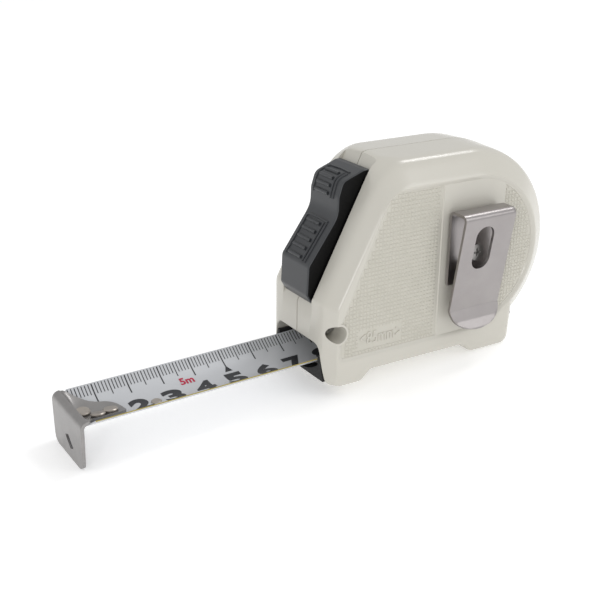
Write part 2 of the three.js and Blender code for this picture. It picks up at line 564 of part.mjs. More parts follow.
// ---- Lock lever, its slider and brake ----
const floor = -CHANNEL_DEPTH + GAP; // underside of the lever over the slope
const leverProfile = rounded([
  { p: onSlope(-1.4, floor) }, { p: onSlope(SLOPE_LENGTH - 0.9, floor), r: 0.8, n: 2 },
  { p: onSlope(SLOPE_LENGTH - 2.4, 1.2), r: 1.2, n: 3 }, { p: onSlope(34.2, 6.2), r: 3, n: 4 },
  { p: onSlope(29.6, 5.4), r: 3, n: 3 }, { p: onSlope(24.6, 3.0), r: 8, n: 3 },
  { p: onSlope(8.2, 5.3), r: 2.4, n: 4 }, { p: onSlope(0.2, 1.6), r: 1.6, n: 3 },
]);
let lever = prismY(leverProfile, -LEVER_HALF, LEVER_HALF);
const neck = prismY([onSlope(NECK[0], floor + 0.4), onSlope(NECK[0], -WALL - 0.6),
  onSlope(NECK[1], -WALL - 0.6), onSlope(NECK[1], floor + 0.4)],
-LEVER_SLOT_HALF + GAP, LEVER_SLOT_HALF - GAP);
lever = lever.add(neck);
const brakeLow = bladeRest(BRAKE_X + BRAKE_LONG / 2).z + BLADE_THICK + 0.5;
const brakeTop = brakeLow + BRAKE_TALL;
const SLIDER = [0.9, 3]; // near and far face of the slider behind the wall
const in0 = -WALL - SLIDER[0], in1 = -WALL - SLIDER[1];
const slider = prismY([
  onSlope(2, in0), onSlope(29.5, in0), onSlope(29.5, in1), onSlope(5, in1),
  [BRAKE_X + BRAKE_LONG, 21], [BRAKE_X + BRAKE_LONG, brakeTop + GAP], [BRAKE_X, brakeTop + GAP],
  [BRAKE_X, 20],
].reverse(), -4.4, 4.4);
const brake = prismX(rounded([
  { p: [-BRAKE_HALF, brakeTop] }, { p: [-BRAKE_HALF, brakeLow + 1.8] },
  { p: [0, brakeLow], r: 6, n: 4 }, { p: [BRAKE_HALF, brakeLow + 1.8] },
  { p: [BRAKE_HALF, brakeTop] },
]).reverse(), BRAKE_X, BRAKE_X + BRAKE_LONG - 0.2);
const detent = strip([
  { a: 17.5, z: 19, na: -1, nz: 0, half: 2, sag: 0 }, { a: 18.6, z: 24, na: -1, nz: 0.1, half: 2, sag: 0 },
  { a: 18.2, z: 29, na: -1, nz: 0.2, half: 2, sag: 0 }, { a: 22, z: 34, na: -1, nz: 0.6, half: 2, sag: 0 },
], 0.4, "y", 8.5, 1);

// ---- Belt clip ----
const clipStations = [];
const leafY = clipFace - CLIP_REACH, topZ = CLIP_TOP;
const leafStation = (y, z, ny, nz, halfW = CLIP_WIDTH / 2) =>
  clipStations.push({ a: y, z, na: ny, nz, half: halfW, sag: 0 });
leafStation(clipFace, CLIP_FOOT + 8, -1, 0);
leafStation(clipFace, topZ - 1.6, -1, 0);
leafStation(clipFace - 0.15, topZ - 0.5 - CLIP_THICK * 0.4, -0.8, -0.6);
leafStation(clipFace - 0.8, topZ, -0.4, -1);
leafStation(leafY + 1.6, topZ - 0.6, 0.3, -1);
leafStation(leafY + 0.45, topZ - 1.3, 0.7, -0.7);
leafStation(leafY, topZ - 2.6, 1, -0.1);
leafStation(clipFace - CLIP_THICK - 0.9 - CLIP_THICK, CLIP_FOOT, 1, 0.1);
leafStation(clipFace - CLIP_THICK - 1.5 - CLIP_THICK, CLIP_FOOT - 3.2, 1, 0.2, CLIP_WIDTH * 0.48);
leafStation(clipFace - CLIP_THICK - 2.3 - CLIP_THICK, CLIP_FOOT - 5.6, 1, 0.3, CLIP_WIDTH * 0.38);
leafStation(clipFace - CLIP_THICK - 2.8 - CLIP_THICK, CLIP_FOOT - 6.9, 1, 0.4, CLIP_WIDTH * 0.2);
let clip = strip(clipStations, CLIP_THICK, "x", CLIP_X, 4);
const obround = rounded([
  { p: [-CLIP_SLOT[0] / 2, -CLIP_SLOT[1] / 2], r: 2.7 }, { p: [CLIP_SLOT[0] / 2, -CLIP_SLOT[1] / 2], r: 2.7 },
  { p: [CLIP_SLOT[0] / 2, CLIP_SLOT[1] / 2], r: 2.7 }, { p: [-CLIP_SLOT[0] / 2, CLIP_SLOT[1] / 2], r: 2.7 },
]).map(([x, z]) => [x + CLIP_X, z + CLIP_SCREW_Z + 3.2]);
clip = clip.subtract(prismY(obround, leafY - 3, clipFace - CLIP_THICK - 0.8))
  .subtract(cylinderY(SCREW_SHANK + GAP, clipFace - 2, clipFace + 1, CLIP_X, CLIP_SCREW_Z, 16));

// ---- Fasteners ----
// A pan-head screw along Y. `way` is +1 when its head looks to +Y. The head starts at y.
function screw(x, z, y, way, shankEnd, headRadius = SCREW_HEAD, headHeight = 1.3) {
  const sorted = (a, b) => [Math.min(a, b), Math.max(a, b)];
  const top = y + way * headHeight, [lo, hi] = sorted(top, top - way * 0.7);
  return cylinderY(headRadius, ...sorted(y, top), x, z, 16)
    .add(cylinderY(SCREW_SHANK, ...sorted(y + way * 0.3, shankEnd), x, z, 12))
    .subtract(box(x - 1.2, x + 1.2, lo, hi, z - 0.25, z + 0.25))
    .subtract(box(x - 0.25, x + 0.25, lo, hi, z - 1.2, z + 1.2));
}
const [front, topFront, heelScrewAt] = CASE_SCREWS;
const caseScrews = [
  screw(...front, -9 - GAP, -1, 8),
  screw(...topFront, 9 + GAP, 1, -8),
  screw(...heelScrewAt, 9 + GAP, 1, -8),
];
const arborScrew = screw(REEL_X, REEL_Z, ARBOR_SEAT + GAP, 1, ARBOR_FAR - 3);
const clipScrew = screw(CLIP_X, CLIP_SCREW_Z, clipFace - CLIP_THICK - GAP, -1, -13.4, 2.6, 1.1);
const clipNut = box(CLIP_X - 3, CLIP_X + 3, -15.2, -13.6, CLIP_SCREW_Z - 3, CLIP_SCREW_Z + 3)
  .subtract(cylinderY(SCREW_SHANK + 0.12, -20, -10, CLIP_X, CLIP_SCREW_Z, 12));
const pin = cylinderY(PIN_RADIUS, 2 - HALF_THICKNESS, HALF_THICKNESS - 2, ...heelPin, 10);

// ---- Materials ----
const finish = (color, roughness, metalness = 0) =>
  new THREE.MeshStandardMaterial({ color, roughness, metalness });
const shellPlastic = finish(0xcfcdc4, 0.38);
const blackRubber = finish(0x1c1c1e, 0.7);
const blackPlastic = finish(0x3a3b3e, 0.5);
const paintedSteel = finish(0xc9ccd2, 0.35, 0.1);
const springSteel = finish(0x6f7378, 0.35, 1);
const stainless = finish(0xb9b5b0, 0.3, 1);
const nickel = finish(0xd8d4cc, 0.25, 1);
const brass = finish(0xb08d4a, 0.35, 1);
const nylon = finish(0xd9d7cf, 0.6);

const root = new THREE.Group();
root.name = "tape_measure";
function add(name, s, material) {
  const mesh = new THREE.Mesh(geometryOf(s), material);
  mesh.name = name;
  root.add(mesh);
}
add("near_shell", nearShell, shellPlastic);
add("far_shell", farShell, shellPlastic);
add("mouth_liner", liner, blackRubber);
add("lock_lever", lever, blackPlastic);
add("lock_slider", slider, nylon);
add("brake_pad", brake, blackRubber);
add("detent_spring", detent, springSteel);
add("blade", blade, paintedSteel);
add("blade_coil", coil, paintedSteel);
add("blade_stop_rivet", stopRivet, nickel);
add("end_hook", hook, stainless);
rivets.forEach((r, i) => add(`hook_rivet_${i + 1}`, r, nickel));
add("reel_drum", drum, nylon);
add("reel_cover", cover, nylon);
add("mainspring", spring, springSteel);
add("reel_arbor", arbor, stainless);
add("washer_near", washerNear, nylon);
add("washer_far", washerFar, nylon);
add("belt_clip", clip, stainless);
add("clip_screw", clipScrew, nickel);
add("clip_nut", clipNut, brass);
caseScrews.forEach((s, i) => add(`case_screw_${i + 1}`, s, nickel));
add("arbor_screw", arborScrew, nickel);
add("heel_pin", pin, brass);
root.position.x = -HEEL_X;

export default root;
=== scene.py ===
"""A five metre pocket tape measure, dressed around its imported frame.

All shapes are drawn in millimetres in the case's own frame: X is 0 at the front face and grows
towards the back, Z is 0 at the soles, and the belt clip is on the -Y side. A finished piece is
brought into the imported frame, in metres, as its last step.
"""

import logging
import math
from collections.abc import Callable, Sequence
from dataclasses import dataclass, field
from enum import Enum

import bmesh
import bpy
import numpy as np
from mathutils import Matrix, Vector


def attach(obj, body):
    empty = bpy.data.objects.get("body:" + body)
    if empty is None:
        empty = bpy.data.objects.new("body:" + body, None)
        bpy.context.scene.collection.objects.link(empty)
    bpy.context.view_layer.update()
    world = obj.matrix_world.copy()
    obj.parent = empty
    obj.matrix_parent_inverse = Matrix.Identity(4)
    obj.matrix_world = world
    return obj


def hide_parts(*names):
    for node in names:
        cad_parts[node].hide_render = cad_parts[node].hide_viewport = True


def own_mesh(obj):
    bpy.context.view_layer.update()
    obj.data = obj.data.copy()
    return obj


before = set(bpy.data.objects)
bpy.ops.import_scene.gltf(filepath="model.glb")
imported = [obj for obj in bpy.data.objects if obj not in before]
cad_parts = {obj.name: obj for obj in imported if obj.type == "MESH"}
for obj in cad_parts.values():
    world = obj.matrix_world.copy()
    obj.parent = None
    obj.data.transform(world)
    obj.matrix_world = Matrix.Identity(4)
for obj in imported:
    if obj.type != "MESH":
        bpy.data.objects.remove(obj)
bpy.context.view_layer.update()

LOG = logging.getLogger("tape_measure")

Point2 = tuple[float, float]
Point3 = tuple[float, float, float]
Settings = dict[str, object]

MM = 0.001
HEEL_X = 61.2  # middle of the heel's sole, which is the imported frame's origin
TO_FRAME = Matrix.Translation((-HEEL_X * MM, 0.0, 0.0)) @ Matrix.Scale(MM, 4)
SMOOTH_ANGLE = math.radians(32)  # edges sharper than this stay sharp

# Sizes shared by several pieces, in millimetres.
CASE_HEIGHT = 65.0
HALF = 17.0  # seam to the side face
REEL = (52.8, 32.8)  # axis of the reel, X and Z
FACE_TOP = 25.7  # where the upright front turns into the slope
SLOPE_RISE, SLOPE_RUN = 37.4, 19.3
SLOPE_LENGTH = math.hypot(SLOPE_RISE, SLOPE_RUN)
SX, SZ = SLOPE_RUN / SLOPE_LENGTH, SLOPE_RISE / SLOPE_LENGTH
CAVITY_HALF = 13.2
WALL = 2.6
GAP = 0.3


# ---- Small helpers -------------------------------------------------------------------------------


class Body(Enum):
    """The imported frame's bodies that pieces ride on."""

    CASE = "case"
    BLADE = "blade"
    HOOK = "hook"
    LOCK = "lock"


class Bool(Enum):
    """What a second solid does to the first."""

    CUT = "DIFFERENCE"
    JOIN = "UNION"
    KEEP = "INTERSECT"


def linear(hex_colour: str) -> tuple[float, float, float, float]:
    """Turns an sRGB hex colour into the linear values that shaders take.

    Args:
        hex_colour: Six hex digits, such as "cfcdc4".

    Returns:
        Linear red, green and blue, and a full alpha.
    """
    parts = [int(hex_colour[i:i + 2], 16) / 255 for i in (0, 2, 4)]
    low = [c / 12.92 if c <= 0.04045 else ((c + 0.055) / 1.055) ** 2.4 for c in parts]
    return low[0], low[1], low[2], 1.0


def add_node(tree: bpy.types.NodeTree, kind: str, settings: Settings | None = None,
             links: dict[str | int, bpy.types.NodeSocket] | None = None) -> bpy.types.Node:
    """Adds a node with its settings and links.

    Args:
        tree: Material or geometry tree.
        kind: The node's type name.
        settings: Properties and input values by name; a property is tried first.
        links: Sockets that feed this node's inputs, by input name or index.

    Returns:
        The new node.
    """
    node = tree.nodes.new(kind)
    for name, value in (settings or {}).items():
        if isinstance(name, str) and hasattr(node, name):
            setattr(node, name, value)
        else:
            node.inputs[name].default_value = value
    for name, socket in (links or {}).items():
        tree.links.new(socket, node.inputs[name])
    return node


def smooth(t: float) -> float:
    """Eases t from 0 to 1."""
    t = min(1.0, max(0.0, t))
    return t * t * (3 - 2 * t)


def mix(a: float, b: float, t: float) -> float:
    """Goes from a to b as t goes from 0 to 1."""
    return a + (b - a) * t


def slope_x(z: float, inset: float = 0.0) -> float:
    """X of the sloped front at height z, drawn in by inset."""
    return ((z - FACE_TOP) * SX + inset) / SZ


def side_round(a: float, depth: float, reach: float) -> float:
    """Depth of a quarter round at distance a from the seam, which ends at the side face."""
    return depth * (1 - math.sqrt(1 - max(0.0, (a - HALF + reach) / reach) ** 2))


def on_slope(along: float, out: float) -> Point2:
    """X and Z of a point along the slope and out from it."""
    return along * SX - out * SZ, FACE_TOP + along * SZ + out * SX


def rounded(corners: Sequence[tuple[Point2, float, int]]) -> list[Point2]:
    """Rounds the corners of a closed outline.

    Args:
        corners: Each corner's place, radius and number of segments; radius 0 keeps it sharp.

    Returns:
        The outline's points.
    """
    out: list[Point2] = []
    for i, (p, r, n) in enumerate(corners):
        if r <= 0:
            out.append(p)
            continue
        corner = Vector(p)
        u = (Vector(corners[i - 1][0]) - corner).normalized()
        v = (Vector(corners[(i + 1) % len(corners)][0]) - corner).normalized()
        half = math.acos(max(-1.0, min(1.0, u.dot(v)))) / 2
        centre = corner + (u + v).normalized() * (r / math.sin(half))
        a, b = corner + u * (r / math.tan(half)) - centre, corner + v * (r / math.tan(half)) - centre
        start, turn = math.atan2(a.y, a.x), math.atan2(b.y, b.x) - math.atan2(a.y, a.x)
        turn = math.atan2(math.sin(turn), math.cos(turn))
        for k in range(n + 1):
            t = start + turn * k / n
            out.append((centre.x + r * math.cos(t), centre.y + r * math.sin(t)))
    return out


def inset_ring(ring: Sequence[Point2], depth: float) -> list[Point2]:
    """Moves a closed outline inwards along its own normals; a negative depth moves it out.

    Args:
        ring: The outline.
        depth: How far it is moved.

    Returns:
        The moved outline.
    """
    points = np.array(ring)
    ahead = np.roll(points, -1, 0) - points
    ahead /= np.maximum(np.linalg.norm(ahead, axis=1, keepdims=True), 1e-9)
    along = ahead + np.roll(ahead, 1, 0)
    along /= np.maximum(np.linalg.norm(along, axis=1, keepdims=True), 1e-9)
    area = float(np.sum(points[:, 0] * np.roll(points[:, 1], -1) - points[:, 1] * np.roll(points[:, 0], -1)))
    side = 1.0 if area > 0 else -1.0
    inward = np.stack([-along[:, 1], along[:, 0]], 1) * side
    return [tuple(p) for p in (points + inward * depth).tolist()]


def mesh_object(name: str, points: Sequence[Sequence[float]], faces: Sequence[Sequence[int]],
                turn_out: bool = True) -> bpy.types.Object:
    """Makes a mesh object in the case's millimetres.

    Args:
        name: Name of the object and its mesh.
        points: Corners.
        faces: Corner numbers of each face.
        turn_out: Turns the faces of a closed shape outwards.

    Returns:
        The object, linked to the scene.
    """
    mesh = bpy.data.meshes.new(name)
    mesh.from_pydata([tuple(p) for p in points], [], [tuple(f) for f in faces])
    if turn_out:
        work = bmesh.new()
        work.from_mesh(mesh)
        bmesh.ops.remove_doubles(work, verts=work.verts, dist=1e-5)
        bmesh.ops.recalc_face_normals(work, faces=work.faces)
        work.to_mesh(mesh)
        work.free()
    piece = bpy.data.objects.new(name, mesh)
    bpy.context.scene.collection.objects.link(piece)
    return piece


def loft(name: str, rings: Sequence[Sequence[Point3]]) -> bpy.types.Object:
    """Joins closed rings of equal point count into a skin, with flat caps at both ends.

    Args:
        name: Name of the solid.
        rings: Closed rings, from one end to the other.

    Returns:
        The solid.
    """
    n = len(rings[0])
    points = [p for ring in rings for p in ring]
    faces = [(j * n + i, j * n + (i + 1) % n, (j + 1) * n + (i + 1) % n, (j + 1) * n + i)
             for j in range(len(rings) - 1) for i in range(n)]
    faces += [tuple(range(n - 1, -1, -1)), tuple(range((len(rings) - 1) * n, len(rings) * n))]
    return mesh_object(name, points, faces)


def loft_y(name: str, steps: Sequence[tuple[float, Sequence[Point2]]]) -> bpy.types.Object:
    """Lofts X and Z outlines, each at its own y."""
    return loft(name, [[(x, y, z) for x, z in ring] for y, ring in steps])


def loft_x(name: str, steps: Sequence[tuple[float, Sequence[Point2]]]) -> bpy.types.Object:
    """Lofts Y and Z outlines, each at its own x."""
    return loft(name, [[(x, y, z) for y, z in ring] for x, ring in steps])


def strip_faces(rows: int, parts: int) -> list[tuple[int, ...]]:
    """Faces of a closed strip, whose rows each hold a line of points below and one above.

    Args:
        rows: Number of rows along the strip.
        parts: Number of faces across it.

    Returns:
        Corner numbers of each face.
    """
    n, row, faces = parts + 1, 2 * (parts + 1), []
    for a in range(0, (rows - 1) * row, row):
        b = a + row
        for k in range(parts):
            faces += [(a + k, a + k + 1, b + k + 1, b + k),
                      (a + n + k, b + n + k, b + n + k + 1, a + n + k + 1)]
        faces += [(a, b, b + n, a + n), (a + parts, a + n + parts, b + n + parts, b + parts)]
    end = (rows - 1) * row
    for k in range(parts):
        faces += [(k, n + k, n + k + 1, k + 1), (end + k, end + k + 1, end + n + k + 1, end + n + k)]
    return faces


def round_y(name: str, steps: Sequence[tuple[float, float]], x: float, z: float,
            segments: int = 40) -> bpy.types.Object:
    """A turned solid about an axis along Y, from pairs of y and radius.

    Args:
        name: Name of the solid.
        steps: Pairs of y and radius along the axis.
        x: X of the axis.
        z: Z of the axis.
        segments: Sides of the round.

    Returns:
        The solid.
    """
    turn = [2 * math.pi * k / segments for k in range(segments)]
    return loft_y(name, [(y, [(x + r * math.cos(t), z + r * math.sin(t)) for t in turn])
                         for y, r in steps])


def apply_modifiers(piece: bpy.types.Object) -> bpy.types.Object:
    """Replaces a piece's mesh with its evaluated one and drops its modifiers.

    Args:
        piece: The object to make plain.

    Returns:
        The same object.
    """
    graph = bpy.context.evaluated_depsgraph_get()
    mesh = bpy.data.meshes.new_from_object(piece.evaluated_get(graph), depsgraph=graph)
    mesh.name = piece.name
    piece.modifiers.clear()
    piece.data = mesh
    return piece


def combine(piece: bpy.types.Object, how: Bool, *tools: bpy.types.Object) -> bpy.types.Object:
    """Cuts, joins or intersects a solid with others, which are used up.

    Args:
        piece: The solid to work on.
        how: What the others do to it.
        tools: The other solids.

    Returns:
        The same piece.
    """
    for tool in tools:
        step = piece.modifiers.new("combine", "BOOLEAN")
        step.operation, step.object, step.solver = how.value, tool, "EXACT"
        apply_modifiers(piece)
        bpy.data.objects.remove(tool)
    return piece


def merged(name: str, pieces: Sequence[bpy.types.Object]) -> bpy.types.Object:
    """Gathers several meshes into one object without changing their shapes.

    Args:
        name: Name of the whole.
        pieces: Objects to gather, which are used up.

    Returns:
        The whole.
    """
    work = bmesh.new()
    for piece in pieces:
        work.from_mesh(piece.data)
        bpy.data.objects.remove(piece)
    mesh = bpy.data.meshes.new(name)
    work.to_mesh(mesh)
    work.free()
    whole = bpy.data.objects.new(name, mesh)
    bpy.context.scene.collection.objects.link(whole)
    return whole


def mirrored(piece: bpy.types.Object, name: str) -> bpy.types.Object:
    """A copy of a piece on the other side of the seam, its faces still looking out.

    Args:
        piece: The piece to copy.
        name: Name of the copy.

    Returns:
        The copy.
    """
    mesh = piece.data.copy()
    mesh.name = name
    mesh.transform(Matrix.Scale(-1, 4, (0, 1, 0)))
    mesh.flip_normals()
    copy = bpy.data.objects.new(name, mesh)
    bpy.context.scene.collection.objects.link(copy)
    return copy


def finish(piece: bpy.types.Object, material: bpy.types.Material | None, body: Body,
           bevel: float = 0.0, replaces: Sequence[str] = ()) -> bpy.types.Object:
    """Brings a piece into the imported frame, shades it, dresses it and lets it ride on its body.

    Args:
        piece: A piece drawn in the case's millimetres.
        material: Its finish, or None to keep what its faces already have.
        body: The body that it moves with.
        bevel: Width of the edge round in millimetres, or 0 for none.
        replaces: CAD nodes that it stands for.

    Returns:
        The same piece.
    """
    piece.data.transform(TO_FRAME)
    if material is not None:
        piece.data.materials.clear()
        piece.data.materials.append(material)
    if bevel > 0:
        edge = piece.modifiers.new("edge round", "BEVEL")
        edge.width, edge.segments = bevel * MM, 2
        edge.limit_method, edge.angle_limit = "ANGLE", SMOOTH_ANGLE
        edge.use_clamp_overlap = True
        apply_modifiers(piece)
    work = bmesh.new()
    work.from_mesh(piece.data)
    for face in work.faces:
        face.smooth = True
    for line in work.edges:
        line.smooth = len(line.link_faces) == 2 and line.calc_face_angle(0.0) < SMOOTH_ANGLE
    work.to_mesh(piece.data)
    work.free()
    weigh = piece.modifiers.new("face weighted shading", "WEIGHTED_NORMAL")
    weigh.keep_sharp = True
    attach(piece, body.value)
    if replaces:
        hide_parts(*replaces)
    LOG.info("%s: %d faces on %s", piece.name, len(piece.data.polygons), body.value)
    return piece


# ---- Finishes ------------------------------------------------------------------------------------


@dataclass(frozen=True)
class Finish:
    """A surface: its base values and the fine marks that its making leaves."""

    name: str
    colour: str
    roughness: float
    metallic: float = 0.0
    ior: float = 1.5
    tint: str = ""  # colour of its patches, or the same as its own
    patch_mm: float = 9.0  # size of the patches
    grain_mm: float = 0.25  # size of the surface's grain
    grain_depth: float = 0.05
    stretch: Point3 = (1.0, 1.0, 1.0)  # above 1 packs the grain closer along that axis
    spread: float = 0.06  # how far the roughness wanders
    coat: float = 0.0
    specular: float = 0.5

    def make(self) -> bpy.types.Material:
        """Builds the material once and gives it out again on later calls.

        Returns:
            The material.
        """
        known = bpy.data.materials.get(self.name)
        if known:
            return known
        material = bpy.data.materials.new(self.name)
        material.use_nodes = True
        tree = material.node_tree
        tree.nodes.clear()
        place = add_node(tree, "ShaderNodeTexCoord").outputs["Object"]
        patches = add_node(tree, "ShaderNodeTexNoise", {
            "Scale": 1 / (self.patch_mm * MM), "Detail": 3.0, "Roughness": 0.55}, {"Vector": place})
        colour = add_node(tree, "ShaderNodeMix", {"data_type": "RGBA"})
        colour.inputs[6].default_value = linear(self.colour)
        colour.inputs[7].default_value = linear(self.tint or self.colour)
        tree.links.new(patches.outputs["Fac"], colour.inputs[0])
        turned = add_node(tree, "ShaderNodeMapping", {"Scale": self.stretch}, {"Vector": place})
        grain = add_node(tree, "ShaderNodeTexNoise", {
            "Scale": 1 / (self.grain_mm * MM), "Detail": 2.0, "Roughness": 0.6},
            {"Vector": turned.outputs["Vector"]})
        rough = add_node(tree, "ShaderNodeMapRange", {
            "To Min": max(0.02, self.roughness - self.spread),
            "To Max": self.roughness + self.spread}, {"Value": grain.outputs["Fac"]})
        bump = add_node(tree, "ShaderNodeBump", {
            "Strength": 0.35, "Distance": self.grain_depth * MM}, {"Height": grain.outputs["Fac"]})
        shader = add_node(tree, "ShaderNodeBsdfPrincipled", {
            "Metallic": self.metallic, "IOR": self.ior, "Coat Weight": self.coat,
            "Specular IOR Level": self.specular}, {
            "Base Color": colour.outputs[2], "Roughness": rough.outputs["Result"],
            "Normal": bump.outputs["Normal"]})
        add_node(tree, "ShaderNodeOutputMaterial", None, {"Surface": shader.outputs["BSDF"]})
        return material


# Injection moulded ABS in warm ivory grey: polished tool, so it is glossy with a faint orange peel.
CASE_ABS = Finish("ivory moulded ABS", "cdcac1", 0.21, tint="cac7bd", patch_mm=14, grain_mm=0.5,
                  grain_depth=0.012, spread=0.04, ior=1.53)
# The same ABS where the tool was spark eroded: a matt floor between the raised dots.
PANEL_ABS = Finish("ivory spark-eroded ABS", "cbc8be", 0.46, tint="c3c0b5", patch_mm=6, grain_mm=0.16,
                   grain_depth=0.03, spread=0.08, ior=1.53)
# Charcoal ABS of the lock lever, satin: fine tool grain breaks its highlights.
LEVER_ABS = Finish("charcoal satin ABS", "3b3d40", 0.4, tint="323437", patch_mm=5, grain_mm=0.18,
                   grain_depth=0.02, spread=0.08, ior=1.53)
# Side skirts of the lever, polished black ABS; their near-black colour and low specular also hold painted
# shade, the dark reflection of the glossy sides.
SKIRT_ABS_WITH_PAINTED_SHADE = Finish("black polished ABS with painted shade", "060606", 0.35, tint="0a0a0b", patch_mm=6, grain_mm=0.3,
                   grain_depth=0.01, spread=0.05, ior=1.53, specular=0.12)
# Moulded rubber-like liner of the mouth and the brake pad: dead matt black.
RUBBER = Finish("black moulded rubber", "141414", 0.7, tint="1c1b1a", patch_mm=3, grain_mm=0.2,
                grain_depth=0.03, spread=0.1, ior=1.52)
# Natural nylon of the drum and slider: milky and waxy.
NYLON = Finish("natural moulded nylon", "d8d3c4", 0.45, tint="cfc9b8", patch_mm=5, grain_mm=0.3,
               grain_depth=0.02, ior=1.53)
# Blue-grey tempered spring steel with rolling lines along X.
SPRING_STEEL = Finish("tempered spring steel", "6a6d72", 0.32, metallic=1.0, tint="595b62", patch_mm=4,
                      grain_mm=0.3, grain_depth=0.01, stretch=(0.05, 1.0, 1.0))
# Belt clip: stainless strip brushed along its length, which draws the highlight out sideways.
CLIP_STEEL = Finish("brushed stainless clip steel", "a9a5a4", 0.34, metallic=1.0, tint="9b9696",
                    patch_mm=7, grain_mm=0.1, grain_depth=0.012, stretch=(1.0, 1.0, 0.03), spread=0.1)
# End hook: tumbled stainless pressing, slightly duller, with short scuffs.
HOOK_STEEL = Finish("tumbled stainless hook steel", "a3a1a0", 0.36, metallic=1.0, tint="8f8d8c",
                    patch_mm=3, grain_mm=0.18, grain_depth=0.02, stretch=(1.0, 0.25, 1.0), spread=0.1)
# Nickel-plated rivet heads, warm and soft-shining.
RIVET_NICKEL = Finish("nickel-plated rivet steel", "bdb6ae", 0.36, metallic=1.0, tint="a59e96",
                      patch_mm=1.2, grain_mm=0.2, grain_depth=0.02, spread=0.1)
# Zinc-plated screws.
SCREW_STEEL = Finish("zinc-plated screw steel", "b3b2b0", 0.33, metallic=1.0, tint="918f8d",
                     patch_mm=1.5, grain_mm=0.15, grain_depth=0.015, spread=0.1)
# Turned brass arbor and nut.
BRASS = Finish("turned brass", "b7995a", 0.3, metallic=1.0, tint="a5884c", patch_mm=3, grain_mm=0.15,
               grain_depth=0.01)
# Blade lacquer: silver-grey enamel rolled on steel, satin, a little metallic in its sparkle.
BLADE_ENAMEL = Finish("silver-grey blade enamel", "cacccf", 0.38, metallic=0.12, tint="c3c5c9",
                      patch_mm=8, grain_mm=0.12, grain_depth=0.006, stretch=(0.15, 1.0, 1.0), spread=0.05,
                      coat=0.1)
# The yellow ground that is left bare along the blade's near edge.
EDGE_ENAMEL = Finish("yellow blade enamel", "a8984c", 0.45, tint="98883f", patch_mm=3, grain_mm=0.15,
                     grain_depth=0.006)
# Black printing ink of the scale, cured matt.
SCALE_INK = Finish("black scale ink", "26272b", 0.5, tint="2f3034", patch_mm=1.5, grain_mm=0.1,
                   grain_depth=0.004)
# Red printing ink of the length mark.
RED_INK = Finish("red scale ink", "c01f45", 0.5, tint="ad1c3f", patch_mm=1.5, grain_mm=0.1,
                 grain_depth=0.004)
# The pale matt sheet that it stands on.
TABLE_SHEET = Finish("white matt table sheet", "f7f7f7", 0.85, tint="f5f5f5", patch_mm=60, grain_mm=2,
                     grain_depth=0.01)


# ---- Geometry Nodes ------------------------------------------------------------------------------


@dataclass
class Repeater:
    """A Geometry Nodes tree that repeats a shape, with named inputs for its sizes."""

    name: str
    inputs: dict[str, float | int]
    build: Callable[["Repeater"], bpy.types.NodeSocket]
    tree: bpy.types.NodeTree | None = None
    sockets: dict[str, bpy.types.NodeSocket] = field(default_factory=dict)
    ids: dict[str, str] = field(default_factory=dict)

    def make(self, material: bpy.types.Material) -> None:
        """Builds the tree: the repeating part, then Realize Instances and Set Material.

        Args:
            material: Finish of the repeated shape.
        """
        self.tree = bpy.data.node_groups.new(self.name, "GeometryNodeTree")
        self.tree.interface.new_socket("Geometry", in_out="INPUT", socket_type="NodeSocketGeometry")
        for name, value in self.inputs.items():
            kind = "NodeSocketInt" if isinstance(value, int) else "NodeSocketFloat"
            socket = self.tree.interface.new_socket(name, in_out="INPUT", socket_type=kind)
            socket.default_value = value
            self.ids[name] = socket.identifier
        self.tree.interface.new_socket("Geometry", in_out="OUTPUT", socket_type="NodeSocketGeometry")
        entry = add_node(self.tree, "NodeGroupInput")
        self.sockets = {socket.name: socket for socket in entry.outputs if socket.name}
        shape = self.build(self)
        real = add_node(self.tree, "GeometryNodeRealizeInstances", None, {"Geometry": shape})
        dressed = add_node(self.tree, "GeometryNodeSetMaterial", {"Material": material},
                           {"Geometry": real.outputs["Geometry"]})
        add_node(self.tree, "NodeGroupOutput", None, {0: dressed.outputs["Geometry"]})

    def run(self, carrier: bpy.types.Object, material: bpy.types.Material) -> bpy.types.Object:
        """Runs the tree on a carrier mesh and leaves a plain mesh in its place.

        Args:
            carrier: Points, path or surface that the shape follows.
            material: Finish of the repeated shape.

        Returns:
            The carrier, which now holds the repeated shapes.
        """
        self.make(material)
        step = carrier.modifiers.new(self.name, "NODES")
        step.node_group = self.tree
        for name, value in self.inputs.items():
            step[self.ids[name]] = value
        return apply_modifiers(carrier)

    def math(self, operation: str, a: bpy.types.NodeSocket | float,
             b: bpy.types.NodeSocket | float = 0.0) -> bpy.types.NodeSocket:
        """A value worked out from two others, each a socket or a number.

        Args:
            operation: Name of the operation.
            a: First value.
            b: Second value.

        Returns:
            The result's socket.
        """
        node = add_node(self.tree, "ShaderNodeMath", {"operation": operation})
        for index, value in enumerate((a, b)):
            if isinstance(value, bpy.types.NodeSocket):
                self.tree.links.new(value, node.inputs[index])
            else:
                node.inputs[index].default_value = value
        return node.outputs[0]

    def vector(self, x: bpy.types.NodeSocket | float, y: bpy.types.NodeSocket | float,
               z: bpy.types.NodeSocket | float) -> bpy.types.NodeSocket:
        """A vector from three values, each a socket or a number.

        Args:
            x: First value.
            y: Second value.
            z: Third value.

        Returns:
            The vector's socket.
        """
        node = add_node(self.tree, "ShaderNodeCombineXYZ")
        for index, value in enumerate((x, y, z)):
            if isinstance(value, bpy.types.NodeSocket):
                self.tree.links.new(value, node.inputs[index])
            else:
                node.inputs[index].default_value = value
        return node.outputs[0]


